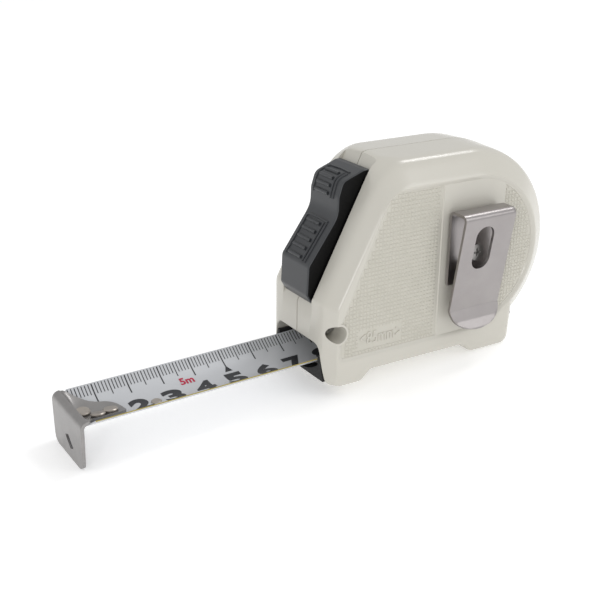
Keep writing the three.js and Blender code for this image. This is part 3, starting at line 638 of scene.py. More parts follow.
def dots_tree(make: Repeater) -> bpy.types.NodeSocket:
    """Square flat-topped dots in a grid, wherever a grid point lies over the carrier's surface.

    Args:
        make: The tree under way, with its input sockets.

    Returns:
        The socket that gives the repeated shape.
    """
    tree, size = make.tree, make.sockets
    grid = add_node(tree, "GeometryNodeMeshGrid", None, {
        "Size X": size["Width"], "Size Y": size["Height"], "Vertices X": size["Columns"],
        "Vertices Y": size["Rows"]})
    place = add_node(tree, "GeometryNodeInputPosition").outputs[0]
    split = add_node(tree, "ShaderNodeSeparateXYZ", None, {0: place})
    x = make.math("ADD", split.outputs["X"], size["Middle X"])
    z = make.math("ADD", split.outputs["Y"], size["Middle Z"])
    lifted = add_node(tree, "GeometryNodeSetPosition", None, {
        "Geometry": grid.outputs["Mesh"], "Position": make.vector(x, size["Level"], z)})
    cast = add_node(tree, "GeometryNodeRaycast", {"Ray Direction": (0.0, 1.0, 0.0), "Ray Length": 5.0},
                    {"Target Geometry": size["Geometry"],
                     "Source Position": make.vector(x, make.math("SUBTRACT", size["Level"], 1.0), z)})
    kept = add_node(tree, "GeometryNodeStoreNamedAttribute", {"data_type": "BOOLEAN", "Name": "over"}, {
        "Geometry": grid.outputs["Mesh"], "Value": cast.outputs["Is Hit"]})
    tree.links.new(kept.outputs["Geometry"], lifted.inputs["Geometry"])
    over = add_node(tree, "GeometryNodeInputNamedAttribute", {"data_type": "BOOLEAN", "Name": "over"})
    cone = add_node(tree, "GeometryNodeMeshCone", {"Vertices": 4, "Side Segments": 1}, {
        "Radius Top": size["Top radius"], "Radius Bottom": size["Foot radius"], "Depth": size["Rise"]})
    copies = add_node(tree, "GeometryNodeInstanceOnPoints",
                      {"Rotation": (math.radians(90), math.radians(45), 0.0)}, {
                          "Points": lifted.outputs["Geometry"], "Selection": over.outputs[0],
                          "Instance": cone.outputs["Mesh"]})
    return copies.outputs["Instances"]


def bars_tree(make: Repeater) -> bpy.types.NodeSocket:
    """Round-backed bars across a path, evenly spaced along it.

    Args:
        make: The tree under way, with its input sockets.

    Returns:
        The socket that gives the repeated shape.
    """
    tree, size = make.tree, make.sockets
    path = add_node(tree, "GeometryNodeMeshToCurve", None, {"Mesh": size["Geometry"]})
    spaced = add_node(tree, "GeometryNodeResampleCurve", None, {
        "Curve": path.outputs["Curve"], "Count": size["Count"]})
    bar = add_node(tree, "GeometryNodeMeshCylinder", {"Vertices": 12}, {
        "Radius": size["Radius"], "Depth": size["Length"]})
    laid = add_node(tree, "GeometryNodeTransform", {"Rotation": (math.radians(90), 0.0, 0.0)},
                    {"Geometry": bar.outputs["Mesh"]})
    copies = add_node(tree, "GeometryNodeInstanceOnPoints", None, {
        "Points": spaced.outputs["Curve"], "Instance": laid.outputs["Geometry"]})
    return copies.outputs["Instances"]


def bead_tree(make: Repeater) -> bpy.types.NodeSocket:
    """A round bead swept along a path.

    Args:
        make: The tree under way, with its input sockets.

    Returns:
        The socket that gives the repeated shape.
    """
    tree, size = make.tree, make.sockets
    path = add_node(tree, "GeometryNodeMeshToCurve", None, {"Mesh": size["Geometry"]})
    ring = add_node(tree, "GeometryNodeCurvePrimitiveCircle", {"Resolution": 8}, {"Radius": size["Radius"]})
    swept = add_node(tree, "GeometryNodeCurveToMesh", {"Fill Caps": True}, {
        "Curve": path.outputs["Curve"], "Profile Curve": ring.outputs["Curve"]})
    return swept.outputs["Mesh"]


def rivets_tree(make: Repeater) -> bpy.types.NodeSocket:
    """Flat rivet heads with a chamfered rim, on a shank, one at each point of the carrier.

    Args:
        make: The tree under way, with its input sockets.

    Returns:
        The socket that gives the repeated shape.
    """
    tree, size = make.tree, make.sockets
    rim = make.math("MULTIPLY", size["Head height"], 0.45)
    head = add_node(tree, "GeometryNodeMeshCylinder", {"Vertices": 36}, {
        "Radius": size["Head radius"], "Depth": make.math("SUBTRACT", size["Head height"], rim)})
    low = make.math("MULTIPLY", make.math("SUBTRACT", size["Head height"], rim), 0.5)
    set_head = add_node(tree, "GeometryNodeTransform", None, {
        "Geometry": head.outputs["Mesh"], "Translation": make.vector(0.0, 0.0, low)})
    crown = add_node(tree, "GeometryNodeMeshCone", {"Vertices": 36}, {
        "Radius Top": make.math("MULTIPLY", size["Head radius"], 0.86),
        "Radius Bottom": size["Head radius"], "Depth": rim})
    set_crown = add_node(tree, "GeometryNodeTransform", None, {
        "Geometry": crown.outputs["Mesh"],
        "Translation": make.vector(0.0, 0.0, make.math("MULTIPLY", low, 2.0))})
    shank = add_node(tree, "GeometryNodeMeshCylinder", {"Vertices": 20}, {
        "Radius": size["Shank radius"], "Depth": size["Shank length"]})
    set_shank = add_node(tree, "GeometryNodeTransform", None, {
        "Geometry": shank.outputs["Mesh"],
        "Translation": make.vector(0.0, 0.0, make.math("MULTIPLY", size["Shank length"], -0.45))})
    whole = add_node(tree, "GeometryNodeJoinGeometry")
    for part in (set_head, set_crown, set_shank):
        tree.links.new(part.outputs["Geometry"], whole.inputs[0])
    copies = add_node(tree, "GeometryNodeInstanceOnPoints", None, {
        "Points": size["Geometry"], "Instance": whole.outputs["Geometry"]})
    return copies.outputs["Instances"]


def ticks_tree(make: Repeater) -> bpy.types.NodeSocket:
    """Printed lines across the blade, evenly spaced along it.

    Args:
        make: The tree under way, with its input sockets.

    Returns:
        The socket that gives the repeated shape.
    """
    tree, size = make.tree, make.sockets
    step = make.vector(size["Pitch"], 0.0, 0.0)
    row = add_node(tree, "GeometryNodeMeshLine", None, {
        "Count": size["Count"], "Start Location": make.vector(size["Start X"], 0.0, 0.0), "Offset": step})
    tick = add_node(tree, "GeometryNodeMeshGrid", {"Vertices X": 2, "Vertices Y": 12}, {
        "Size X": size["Line width"], "Size Y": size["Line length"]})
    half = make.math("MULTIPLY", size["Line length"], -0.5)
    laid = add_node(tree, "GeometryNodeTransform", None, {
        "Geometry": tick.outputs["Mesh"],
        "Translation": make.vector(0.0, make.math("ADD", size["Outer Y"], half), 0.0)})
    copies = add_node(tree, "GeometryNodeInstanceOnPoints", None, {
        "Points": row.outputs["Mesh"], "Instance": laid.outputs["Geometry"]})
    return copies.outputs["Instances"]


# ---- Case ----------------------------------------------------------------------------------------


@dataclass
class CaseShells:
    """Two ivory half shells with a bumper roll round their sides and dotted side panels."""

    # Depth of the edge at each distance from the seam: roof, ridge, chamfer, crest.
    roll: tuple[Point2, ...] = (
        (9.0, 0.0), (10.4, 0.08), (11.5, 0.3), (12.3, 0.65), (13.0, 1.2), (13.7, 2.0), (14.4, 3.0),
        (15.2, 4.15), (16.0, 5.3), (16.5, 6.0), (16.8, 6.5), (17.0, 7.0))
    roof_slope: float = 0.05
    front_share: float = 3.4 / 7.0  # the roll is shallower along the front
    sole_round: float = 1.2
    rear_radius: float = 32.2
    heel: tuple[float, float] = (54.0, 70.9)
    heel_lean: float = 0.06
    heel_round: tuple[float, float] = (3.4, 5.0)  # depth and reach of the heel's side round
    arbor_y: float = 14.4  # seat of the arbor screw's head
    hole_radius: float = 2.4  # of the far shell's screw holes
    top_screw: Point2 = (25.2, 56.6)
    heel_screw: Point2 = (66.4, 4.6)
    heel_pin: Point2 = (70.7, 9.2)
    pin_radius: float = 0.9
    toe_end: float = 12.0
    belly: float = 3.1
    seam_groove: float = 0.2
    field_y: float = 16.5  # the sunk field of a side face
    panel_y: float = 16.25  # floor of the dotted panels
    base_band: float = 8.6
    band: tuple[float, float] = (39.6, 63.8)  # smooth band behind the clip
    dot_pitch: float = 1.2
    screw_hole: Point2 = (3.7, 16.8)
    mark_box: tuple[float, float, float, float] = (10.6, 10.6, 27.0, 15.6)

    def edge(self, a: float) -> float:
        """Depth of the rolled edge at a distance from the seam."""
        return float(np.interp(a, [p[0] for p in self.roll], [p[1] for p in self.roll]))

    def ring(self, a: float) -> list[Point2]:
        """Outline of the case at a distance from the seam.

        Args:
            a: Distance from the seam.

        Returns:
            The outline, X and Z.
        """
        roof, front = self.edge(a) + self.roof_slope * a, self.edge(a) * self.front_share
        sole, lean = side_round(a, self.sole_round, self.sole_round), self.heel_lean
        radius, heel = self.rear_radius - roof, self.heel[1] - side_round(a, *self.heel_round)
        dx = heel - REEL[0]
        square, middle = lean * lean + 1, 2 * (dx * lean - REEL[1])
        meet = (-middle - math.sqrt(middle ** 2 - 4 * square * (dx * dx + REEL[1] ** 2 - radius ** 2))) / (
            2 * square)
        low = math.atan2(meet - REEL[1], heel + lean * meet - REEL[0])
        rear = [((REEL[0] + radius * math.cos(t), REEL[1] + radius * math.sin(t)), 0.0, 1)
                for t in np.linspace(low, math.pi / 2, 56)]
        top, hip = CASE_HEIGHT - roof, smooth((a - 6) / 6)
        return rounded([
            ((front, sole), 2.4, 7), ((self.toe_end, sole), 2.0, 4),
            ((self.toe_end + 3.5, self.belly + sole), 2.0, 4),
            ((self.heel[0] - 2.8, self.belly + sole), 2.0, 4), ((self.heel[0], sole), 2.0, 4),
            ((heel + lean * sole, sole), 2.6, 7), *rear,
            ((slope_x(top, front + 0.8 * hip), top), 6.0 + 7.0 * hip, 14),
            ((front, FACE_TOP - front / 2), 4.0, 8)])

    def skin(self) -> bpy.types.Object:
        """The near half's solid before anything is cut from it.

        Returns:
            The solid.
        """
        stations = [0.26, 3.5, 6.5, 9.0, 10.0, 10.9, 11.5, 12.0, 12.5, 13.0, 13.5, 14.0, 14.6, 15.2, 15.8,
                    16.2, 16.5, 16.7, 16.85, 16.95, 17.0]
        steps = [(-0.15, inset_ring(self.ring(0.15), self.seam_groove))]
        steps += [(-a, self.ring(a)) for a in stations]
        return loft_y("near_shell_skin", steps)

    def hollow(self) -> list[bpy.types.Object]:
        """The reel's pocket, the room behind the front and the blade's passage.

        Returns:
            The solids to cut away.
        """
        room_top, mouth_top = REEL[1] + 27.9, 12.3
        room = [(WALL, mouth_top + 1.6), (REEL[0], mouth_top + 1.6), (REEL[0], room_top),
                (slope_x(room_top, WALL), room_top), (WALL, FACE_TOP - 1)]
        passage = [(5.5, 1.3), (10.5, 1.8), (15.5, 3.9), (22, 4.4), (REEL[0], 4.4),
                   (REEL[0], mouth_top + 2), (5.5, mouth_top + 2)]
        return [round_y("pocket", [(-CAVITY_HALF, 27.9), (1.0, 27.9)], *REEL, segments=64),
                loft_y("room", [(-CAVITY_HALF + 0.4, room), (1.0, room)]),
                loft_y("passage", [(-CAVITY_HALF, passage), (1.0, passage)])]

    def mouth(self) -> bpy.types.Object:
        """The blade's opening, with a soft lip.

        Returns:
            The solid to cut away.
        """

        def ring(grow: float) -> list[Point2]:
            """Outline of the opening.

            Args:
                grow: How far it is moved out.

            Returns:
                The outline, Y and Z.
            """
            low, up, top = 14.3 + 0.24 + grow, 11.4 + grow, 12.3 + grow
            return rounded([((-low, -1.0), 0.0, 1), ((low, -1.0), 0.0, 1), ((up, top), 3.2, 8),
                            ((-up, top), 3.2, 8)])
        return loft_x("mouth", [(x, ring(g)) for x, g in (
            (-1.0, 1.3), (0.0, 0.6), (0.12, 0.34), (0.35, 0.13), (0.7, 0.0), (6.0, 0.0))])

    def channel(self) -> bpy.types.Object:
        """The lever's channel down the slope, its rims rounded.

        Returns:
            The solid to cut away.
        """

        def ring(depth: float) -> list[Point2]:
            """Outline of the channel.

            Args:
                depth: Its depth under the slope.

            Returns:
                The outline, X and Z.
            """
            low = FACE_TOP - 3.6
            foot = (low - FACE_TOP + depth * SX) / SZ
            far = (low - FACE_TOP - 4 * SX) / SZ
            return [on_slope(foot, -depth), on_slope(SLOPE_LENGTH + 6, -depth),
                    on_slope(SLOPE_LENGTH + 6, 4), on_slope(far, 4)]
        rim = [(8.35, 0.0), (8.15, 0.05), (7.95, 0.2), (7.82, 0.5), (7.8, 1.5)]
        return loft_y("channel", [(-y, ring(d)) for y, d in rim] + [(1.0, ring(1.5))])

    def field_ring(self, grow: float) -> list[Point2]:
        """Outline of the sunk field of a side face.

        Args:
            grow: How far the outline is moved out.

        Returns:
            The outline, X and Z.
        """
        top, radius, base = 56.15 + grow, 23.35 + grow, self.base_band - grow
        arc = [((REEL[0] + radius * math.cos(t), REEL[1] + radius * math.sin(t)), 0.0, 1)
               for t in np.linspace(math.radians(-66), math.radians(90), 44)]
        return rounded([((4.7 - grow, base), 1.2, 4), ((57.5 + grow * 0.3, base), 4.0, 6), *arc,
                        ((slope_x(top, 3.6 - grow) + 1.2, top), 5.0, 10), ((4.7 - grow, 19.0), 9.0, 8)])

    def panel_ring(self, grow: float) -> list[Point2]:
        """Outline of the front dotted panel.

        Args:
            grow: How far the outline is moved out.

        Returns:
            The outline, X and Z.
        """
        top = 55.9 + grow
        return rounded([((5.2 - grow, self.base_band + 0.3 - grow), 0.8, 4),
                        ((self.band[0] + grow, self.base_band + 0.3 - grow), 0.4, 3),
                        ((self.band[0] + grow, top), 0.8, 4),
                        ((slope_x(top, 4.2 - grow) + 1.2, top), 3.6, 8), ((5.2 - grow, 19.2), 8.0, 8)])

    def crescent_ring(self, grow: float) -> list[Point2]:
        """Outline of the dotted crescent behind the clip's band.

        Args:
            grow: How far the outline is moved out.

        Returns:
            The outline, X and Z.
        """
        radius, x = 22.95 + grow, self.band[1] - grow
        reach = math.acos((x - REEL[0]) / radius)
        return [(max(x, REEL[0] + radius * math.cos(t)), REEL[1] + radius * math.sin(t))
                for t in np.linspace(-reach, reach, 26)]

    def side_cuts(self) -> list[bpy.types.Object]:
        """The sunk field with its dished flank, and the two panels in it.

        Returns:
            The solids to cut away.
        """
        flank = [(17.6, 2.2), (17.0, 1.5), (16.94, 1.0), (16.84, 0.65), (16.7, 0.35), (16.58, 0.12),
                 (self.field_y, 0.0)]
        return [
            loft_y("field", [(-y, self.field_ring(g)) for y, g in flank]),
            loft_y("panel", [(-y, self.panel_ring(g)) for y, g in (
                (17.6, 0.25), (self.field_y, 0.25), (self.panel_y, 0.0))]),
            loft_y("crescent", [(-y, self.crescent_ring(g)) for y, g in (
                (17.6, 0.2), (self.field_y, 0.2), (self.panel_y, 0.0))])]

    def build(self) -> None:
        """Builds both shells and rides them on the case."""
        boss = combine(round_y("front_boss", [(-20.0, 3.3), (-0.2, 3.3)], *self.screw_hole, 48),
                       Bool.KEEP, self.skin())
        near = combine(self.skin(), Bool.CUT, *self.hollow(), self.mouth(), self.channel(),
                       *self.side_cuts())
        combine(near, Bool.JOIN, boss)
        far = mirrored(near, "far_shell_skin")
        hole_x, hole_z = self.screw_hole
        sink = [(-18.0, 2.7), (-9.0, 2.65)]
        combine(near, Bool.CUT, round_y("screw_sink", sink, hole_x, hole_z, 48),
                round_y("pin_hole", [(-20.0, self.pin_radius), (1.0, self.pin_radius)], *self.heel_pin, 16))
        deep = [(9.0, self.hole_radius), (20.0, self.hole_radius)]
        combine(far, Bool.CUT,
                round_y("arbor_hole", [(self.arbor_y, self.hole_radius), (20.0, self.hole_radius)], *REEL),
                round_y("top_hole", deep, *self.top_screw), round_y("heel_hole", deep, *self.heel_screw),
                round_y("pin_hole", [(-1.0, self.pin_radius), (20.0, self.pin_radius)], *self.heel_pin, 16))
        for shell, node in ((near, "near_shell"), (far, "far_shell")):
            self.dress(shell)
            finish(shell, None, Body.CASE, replaces=(node,))

    def dress(self, shell: bpy.types.Object) -> None:
        """Glossy ABS all over, and the matt grain on the floors of the dotted panels.

        Args:
            shell: A finished half shell, before it is brought into the frame.
        """
        shell.data.materials.clear()
        shell.data.materials.append(CASE_ABS.make())
        shell.data.materials.append(PANEL_ABS.make())
        for face in shell.data.polygons:
            on_floor = abs(abs(face.center.y) - self.panel_y) < 0.02 and abs(face.normal.y) > 0.9
            face.material_index = 1 if on_floor else 0

    def dots(self) -> None:
        """Raised dots over the panels of both sides, clear of the moulded length mark."""
        x0, z0, x1, z1 = self.mark_box
        floor = loft_y("near_dots", [(-self.panel_y - 0.4, self.panel_ring(-0.45)),
                                     (-self.panel_y, self.panel_ring(-0.45))])
        patch = [(x0, z0), (x1, z0), (x1, z1), (x0, z1)]
        combine(floor, Bool.CUT, loft_y("patch", [(-18.0, patch), (-10.0, patch)]),
                round_y("clear_of_hole", [(-18.0, 3.6), (-10.0, 3.6)], *self.screw_hole))
        back = loft_y("crescent_floor", [(-self.panel_y - 0.4, self.crescent_ring(-0.4)),
                                         (-self.panel_y, self.crescent_ring(-0.4))])
        carrier = merged("near_dots", [floor, back])
        repeat = Repeater("dots in rows", {
            "Width": 61 * self.dot_pitch, "Height": 42 * self.dot_pitch, "Columns": 62, "Rows": 43,
            "Middle X": 41.0, "Middle Z": 32.3,
            "Level": -self.panel_y, "Foot radius": 0.74, "Top radius": 0.44, "Rise": 0.22}, dots_tree)
        near = repeat.run(carrier, PANEL_ABS.make())
        far = mirrored(near, "far_dots")
        for piece in (near, far):
            finish(piece, None, Body.CASE)

    def mark(self) -> None:
        """The moulded case length, 85 mm, between two chevrons."""
        mark = lettering("length_mark", "<85mm>", 3.9, 0.28, -0.006, 14.6)
        upright = Matrix.Rotation(math.radians(90), 4, "X")
        mark.data.transform(Matrix.Translation((11.6, -self.panel_y, 11.5)) @ upright)
        finish(mark, CASE_ABS.make(), Body.CASE)


def lettering(name: str, text: str, height: float, thick: float, bold: float,
              width: float = 0.0) -> bpy.types.Object:
    """Solid generic figures, standing on the origin in the XY plane and facing +Z.

    Args:
        name: Name of the object.
        text: Figures.
        height: Height of the figures in millimetres.
        thick: How far they stand out.
        bold: Extra weight of the strokes, as a share of the height.
        width: Width to draw them out to, or 0 to keep their own.

    Returns:
        The figures as a mesh, in the case's millimetres.
    """
    curve = bpy.data.curves.new(name, "FONT")
    curve.body, curve.size, curve.resolution_u = text, 1.0, 6
    curve.extrude, curve.offset = 0.01, bold
    holder = bpy.data.objects.new(name, curve)
    bpy.context.scene.collection.objects.link(holder)
    bpy.context.view_layer.update()
    graph = bpy.context.evaluated_depsgraph_get()
    mesh = bpy.data.meshes.new_from_object(holder.evaluated_get(graph), depsgraph=graph)
    bpy.data.objects.remove(holder)
    place = np.array([v.co for v in mesh.vertices])
    low, high = place.min(0), place.max(0)
    tall = height / (high[1] - low[1])
    wide = width / (high[0] - low[0]) if width else tall
    mesh.transform(Matrix.Diagonal((wide, tall, thick / 0.02, 1.0))
                   @ Matrix.Translation((-low[0], -low[1], 0.01)))
    work = bmesh.new()
    work.from_mesh(mesh)
    bmesh.ops.remove_doubles(work, verts=work.verts, dist=1e-4)
    bmesh.ops.recalc_face_normals(work, faces=work.faces)
    work.to_mesh(mesh)
    work.free()
    piece = bpy.data.objects.new(name, mesh)
    bpy.context.scene.collection.objects.link(piece)
    return piece


# ---- Blade ---------------------------------------------------------------------------------------


@dataclass
class Blade:
    """The curled blade out of the mouth, its printed scale, and its stop rivet.

    It is one flexible strip, so it doesn't slide through the case as a block. A real one draws together
    towards the reel as the hook comes home;
    this one is drawn in one pose and rides on the case.
    """

    out: float = 71.2
    thick: float = 0.3
    curl: float = 4.6
    curl_half: float = 10.75
    flat_half: float = 12.5
    droop: float = 0.024
    level: float = 2.9
    flat_level: float = 4.9
    clip: float = 2.8
    hook_room: float = 0.75  # the end stops short, so that the hook can slide in
    print_lift: float = 0.03
    last_mm: int = 82  # last printed line, just inside the mouth
    stop_at: Point2 = (24.3, -1.8)
    figure_width: float = 6.1

    def section(self, x: float) -> tuple[float, float, float]:
        """Middle height, half width and curl depth of the blade at x.

        Args:
            x: Place along the blade.

        Returns:
            Height, half width and depth of curl.
        """
        low = self.level + self.droop * x
        z = low if x <= 0 else mix(low, self.flat_level, smooth(x / 26))
        c = smooth((x - 2) / 44.8)
        return z, mix(self.curl_half, self.flat_half, c), self.curl * (1 - c)

    def surface(self, x: float, y: float, lift: float = 0.0) -> Point3:
        """A point on or over the blade's upper face."""
        z, half, curl = self.section(x)
        return x, y, z + curl * (y / half) ** 2 + self.thick + lift

    def strip(self) -> bpy.types.Object:
        """The steel strip, with its front corners cut off.

        Returns:
            The strip.
        """
        xs = [-self.out + self.hook_room, -self.out + 0.9, -self.out + 1.8, -self.out + self.clip]
        xs += list(np.linspace(-self.out + 6, 0, 14)) + list(np.linspace(1.5, 50, 22)) + [REEL[0]]
        parts, points = 36, []
        for x in xs:
            z, half, curl = self.section(x)
            corner = max(0.0, self.clip - (x + self.out))
            for lift in (0.0, self.thick):
                for k in range(parts + 1):
                    y = (half - corner) * (2 * k / parts - 1)
                    points.append((x, y, z + curl * (y / half) ** 2 + lift))
        return mesh_object("blade_strip", points, strip_faces(len(xs), parts))

    def bend(self, piece: bpy.types.Object, lift: float) -> bpy.types.Object:
        """Lays a flat solid drawn over X and Y onto the blade's curled upper face.

        Args:
            piece: The flat solid.
            lift: How far it stands over the face.

        Returns:
            The same solid, bent.
        """
        work = bmesh.new()
        work.from_mesh(piece.data)
        ys = [v.co.y for v in work.verts]
        for y in np.arange(min(ys) + 0.5, max(ys), 0.5):
            whole = [*work.verts, *work.edges, *work.faces]
            bmesh.ops.bisect_plane(work, geom=whole, dist=1e-5, plane_co=(0, y, 0), plane_no=(0, 1, 0))
        for v in work.verts:
            v.co = self.surface(v.co.x, v.co.y, lift + v.co.z)
        work.to_mesh(piece.data)
        work.free()
        return piece

    def ticks(self) -> bpy.types.Object:
        """Lines every millimetre, longer every five and ten.

        Returns:
            All the lines as one piece.
        """
        outer = 10.45
        rows = [("mm", 1.0, 3.0, self.last_mm, 2.75, 0.24), ("five", 10.0, 5.0, 9, 3.95, 0.26),
                ("cm", 10.0, 10.0, 8, 5.2, 0.36)]
        made = []
        for name, pitch, first, count, length, width in rows:
            repeat = Repeater(f"scale lines {name}", {
                "Pitch": pitch, "Count": count, "Start X": first - self.out, "Line length": length,
                "Line width": width, "Outer Y": outer}, ticks_tree)
            made.append(repeat.run(mesh_object(f"ticks_{name}", [(0, 0, 0)], [], False), SCALE_INK.make()))
        ticks = merged("scale_ticks", made)
        for v in ticks.data.vertices:
            v.co = self.surface(v.co.x, v.co.y, self.print_lift)
        ink = ticks.modifiers.new("ink thickness", "SOLIDIFY")
        ink.thickness, ink.offset = 0.03, 1.0
        return apply_modifiers(ticks)

    def figures(self) -> bpy.types.Object:
        """Bold centimetre figures with their feet at the near edge, and the pointer at 5.

        Returns:
            All the figures as one piece.
        """
        made = []
        for n in range(2, 9):
            figure = lettering(f"figure_{n}", str(n), 7.0, 0.03, 0.05, self.figure_width)
            figure.data.transform(Matrix.Translation((10 * n - self.out - self.figure_width / 2, -4.6, 0.0)))
            made.append(figure)
        x = 50 - self.out
        tip = [(x - 1.2, 3.4), (x + 1.2, 3.4), (x, 5.7)]
        made.append(loft("pointer", [[(a, b, z) for a, b in tip] for z in (0.0, 0.03)]))
        whole = merged("scale_figures", made)
        return self.bend(whole, self.print_lift)

    def length_text(self) -> bpy.types.Object:
        """The red length mark, 5 m.

        Returns:
            The mark.
        """
        text = lettering("blade_length_mark", "5m", 2.6, 0.03, 0.035, 4.4)
        text.data.transform(Matrix.Translation((34.4 - self.out, 2.95, 0.0)))
        return self.bend(text, self.print_lift)

    def edge_line(self) -> bpy.types.Object:
        """The bare yellow line along the near edge.

        Returns:
            The line.
        """
        xs = list(np.linspace(-self.out + 3, 6, 30))
        points = [self.surface(x, y, lift) for x in xs for y, lift in (
            (-self.curl_half - 0.02, -0.32), (-self.curl_half - 0.02, 0.03), (-self.curl_half + 0.2, 0.03),
            (-self.curl_half + 0.2, 0.0), (-self.curl_half, 0.0), (-self.curl_half, -0.32))]
        faces = [(6 * j + k, 6 * j + (k + 1) % 6, 6 * j + 6 + (k + 1) % 6, 6 * j + 6 + k)
                 for j in range(len(xs) - 1) for k in range(6)]
        end = 6 * (len(xs) - 1)
        faces += [tuple(range(6)), tuple(range(end + 5, end - 1, -1))]
        return mesh_object("blade_edge_line", points, faces)

    def stop_rivet(self) -> bpy.types.Object:
        """The small flat rivet between 2 and 3.

        Returns:
            The rivet.
        """
        mark, y = self.stop_at
        spot = mesh_object("stop_rivet", [self.surface(mark - self.out, y, 0.05)], [], False)
        return Repeater("stop rivet head", {
            "Head radius": 1.5, "Head height": 0.4, "Shank radius": 0.7, "Shank length": 1.3},
            rivets_tree).run(spot, RIVET_NICKEL.make())

    def build(self) -> None:
        """Builds the blade and its print, and lets them ride on the case."""
        pieces = [
            (self.strip(), BLADE_ENAMEL.make(), ("blade",), "blade_paint"),
            (self.ticks(), SCALE_INK.make(), (), None),
            (self.figures(), SCALE_INK.make(), (), None),
            (self.length_text(), RED_INK.make(), (), None),
            (self.edge_line(), EDGE_ENAMEL.make(), (), None),
            (self.stop_rivet(), RIVET_NICKEL.make(), ("blade_stop_rivet",), "nickel")]
        for piece, material, nodes, slot in pieces:
            finish(piece, material, Body.CASE, replaces=nodes)
            apply_modifiers(piece)
            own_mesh(piece)


# ---- Hook ----------------------------------------------------------------------------------------


@dataclass
class EndHook:
    """The pressed end hook, riveted to the blade so that it can slide by its own thickness."""

    blade: Blade
    thick: float = 1.0
    half: float = 10.8
    drop: float = 14.6
    bend_radius: float = 1.1
    bend_rise: float = 5.21  # middle of the blade's end to the top of the bend
    rivets: tuple[Point2, ...] = ((5.1, 1.0), (7.8, -3.4), (11.8, -2.2))
    # Corners of the slanted nail slot, Y and Z.
    slot: tuple[Point2, ...] = ((-0.6, -1.3), (-4.2, -4.2), (-1.7, -5.2), (1.9, -2.3))

    @property
    def face(self) -> float:
        """X of the hook's outer face."""
        return -self.blade.out - GAP - self.thick

    @property
    def top(self) -> float:
        """Height of the bend's top."""
        return self.blade.section(-self.blade.out)[0] + self.bend_rise

    def stations(self) -> list[tuple[float, ...]]:
        """Rows from the plate's foot to the tongue's end.

        Returns:
            For each row its x and z, its normal's x and z, its two edges' y, and its share of the
            blade's curl.
        """
        plate, low = self.face + self.thick, self.top - self.drop
        rows = []
        for up, cut in ((0, 2.6), (0.15, 1.9), (0.4, 1.2), (0.8, 0.65), (1.4, 0.25), (2.2, 0.05), (4, 0),
                        (6.2, 0), (8.8, 0), (10.5, 0)):
            half = self.half - 0.5 - cut + 0.05 * up
            rows.append((plate, low + up, -1.0, 0.0, half, -half, 0.0))
        for i in range(9):
            t = math.pi / 2 * (1 - i / 8)
            rows.append((plate + self.bend_radius * (1 - math.sin(t)),
                         self.top - self.thick - self.bend_radius + self.bend_radius * math.cos(t),
                         -math.sin(t), math.cos(t), self.half - 0.1 * i / 8, 0.1 * i / 8 - self.half, 0.0))
        for dx, k, far, near in (
                (2.4, 0.9, 10.4, 10.5), (2.7, 0.66, 10.1, 10.3), (3.0, 0.42, 9.8, 10.1),
                (3.3, 0.22, 9.5, 9.95), (3.7, 0.08, 9.1, 9.8), (4.2, 0.02, 8.65, 9.5),
                (5.2, 0.0, 7.7, 9.2), (6.2, 0.0, 6.8, 8.95), (7.2, 0.0, 5.9, 8.7), (8.4, 0.0, 5.0, 8.4),
                (9.8, 0.0, 4.25, 8.1), (11.2, 0.0, 3.8, 7.8), (12.4, 0.0, 3.45, 7.5),
                (13.4, 0.0, 2.95, 7.1), (14.2, 0.0, 2.3, 6.5), (14.8, 0.0, 1.55, 5.8),
                (15.2, 0.0, 0.75, 5.1), (15.5, 0.0, -0.2, 4.2), (15.65, 0.0, -1.2, 3.3)):
            x = self.face + dx
            seat = self.blade.section(x)[0] + self.blade.thick + GAP
            rows.append((x, mix(seat, self.top - self.thick - 0.2, k), 0.0, 1.0, far, -near, 1 - k))
        return rows

    def plate(self) -> bpy.types.Object:
        """The pressing, from the stations.

        Returns:
            The pressing.
        """
        parts, rows = 28, self.stations()
        points = []
        for a, z, na, nz, far, near, share in rows:
            for side in (0.0, self.thick):
                for k in range(parts + 1):
                    y = mix(near, far, k / parts)
                    lift = self.blade.curl * (y / self.blade.curl_half) ** 2 * share + side
                    points.append((a + na * lift, y, z + nz * lift))
        return mesh_object("end_hook_plate", points, strip_faces(len(rows), parts))

    def build(self) -> None:
        """Builds the hook and its rivets."""
        hook = self.plate()
        slot = rounded([(corner, 0.35, 3) for corner in self.slot])
        combine(hook, Bool.CUT, loft_x("nail_slot", [(self.face - 1, slot), (self.face + 3, slot)]))
        finish(hook, HOOK_STEEL.make(), Body.HOOK, bevel=0.16, replaces=("end_hook",))
        for n, (dx, y) in enumerate(self.rivets, 1):
            x = self.face + dx
            place = self.blade.surface(x, y, GAP + self.thick + 0.3)
            tilt = math.atan(2 * self.blade.curl * y / self.blade.curl_half ** 2)
            spot = mesh_object(f"rivet_{n}", [(0, 0, 0)], [], False)
            head = Repeater(f"hook rivet head {n}", {
                "Head radius": 2.1, "Head height": 0.62, "Shank radius": 1.1, "Shank length": 1.5},
                rivets_tree).run(spot, RIVET_NICKEL.make())
            head.data.transform(Matrix.Translation(place) @ Matrix.Rotation(tilt, 4, "X"))
            finish(head, RIVET_NICKEL.make(), Body.BLADE, replaces=(f"hook_rivet_{n}",))


# ---- Lever ---------------------------------------------------------------------------------------


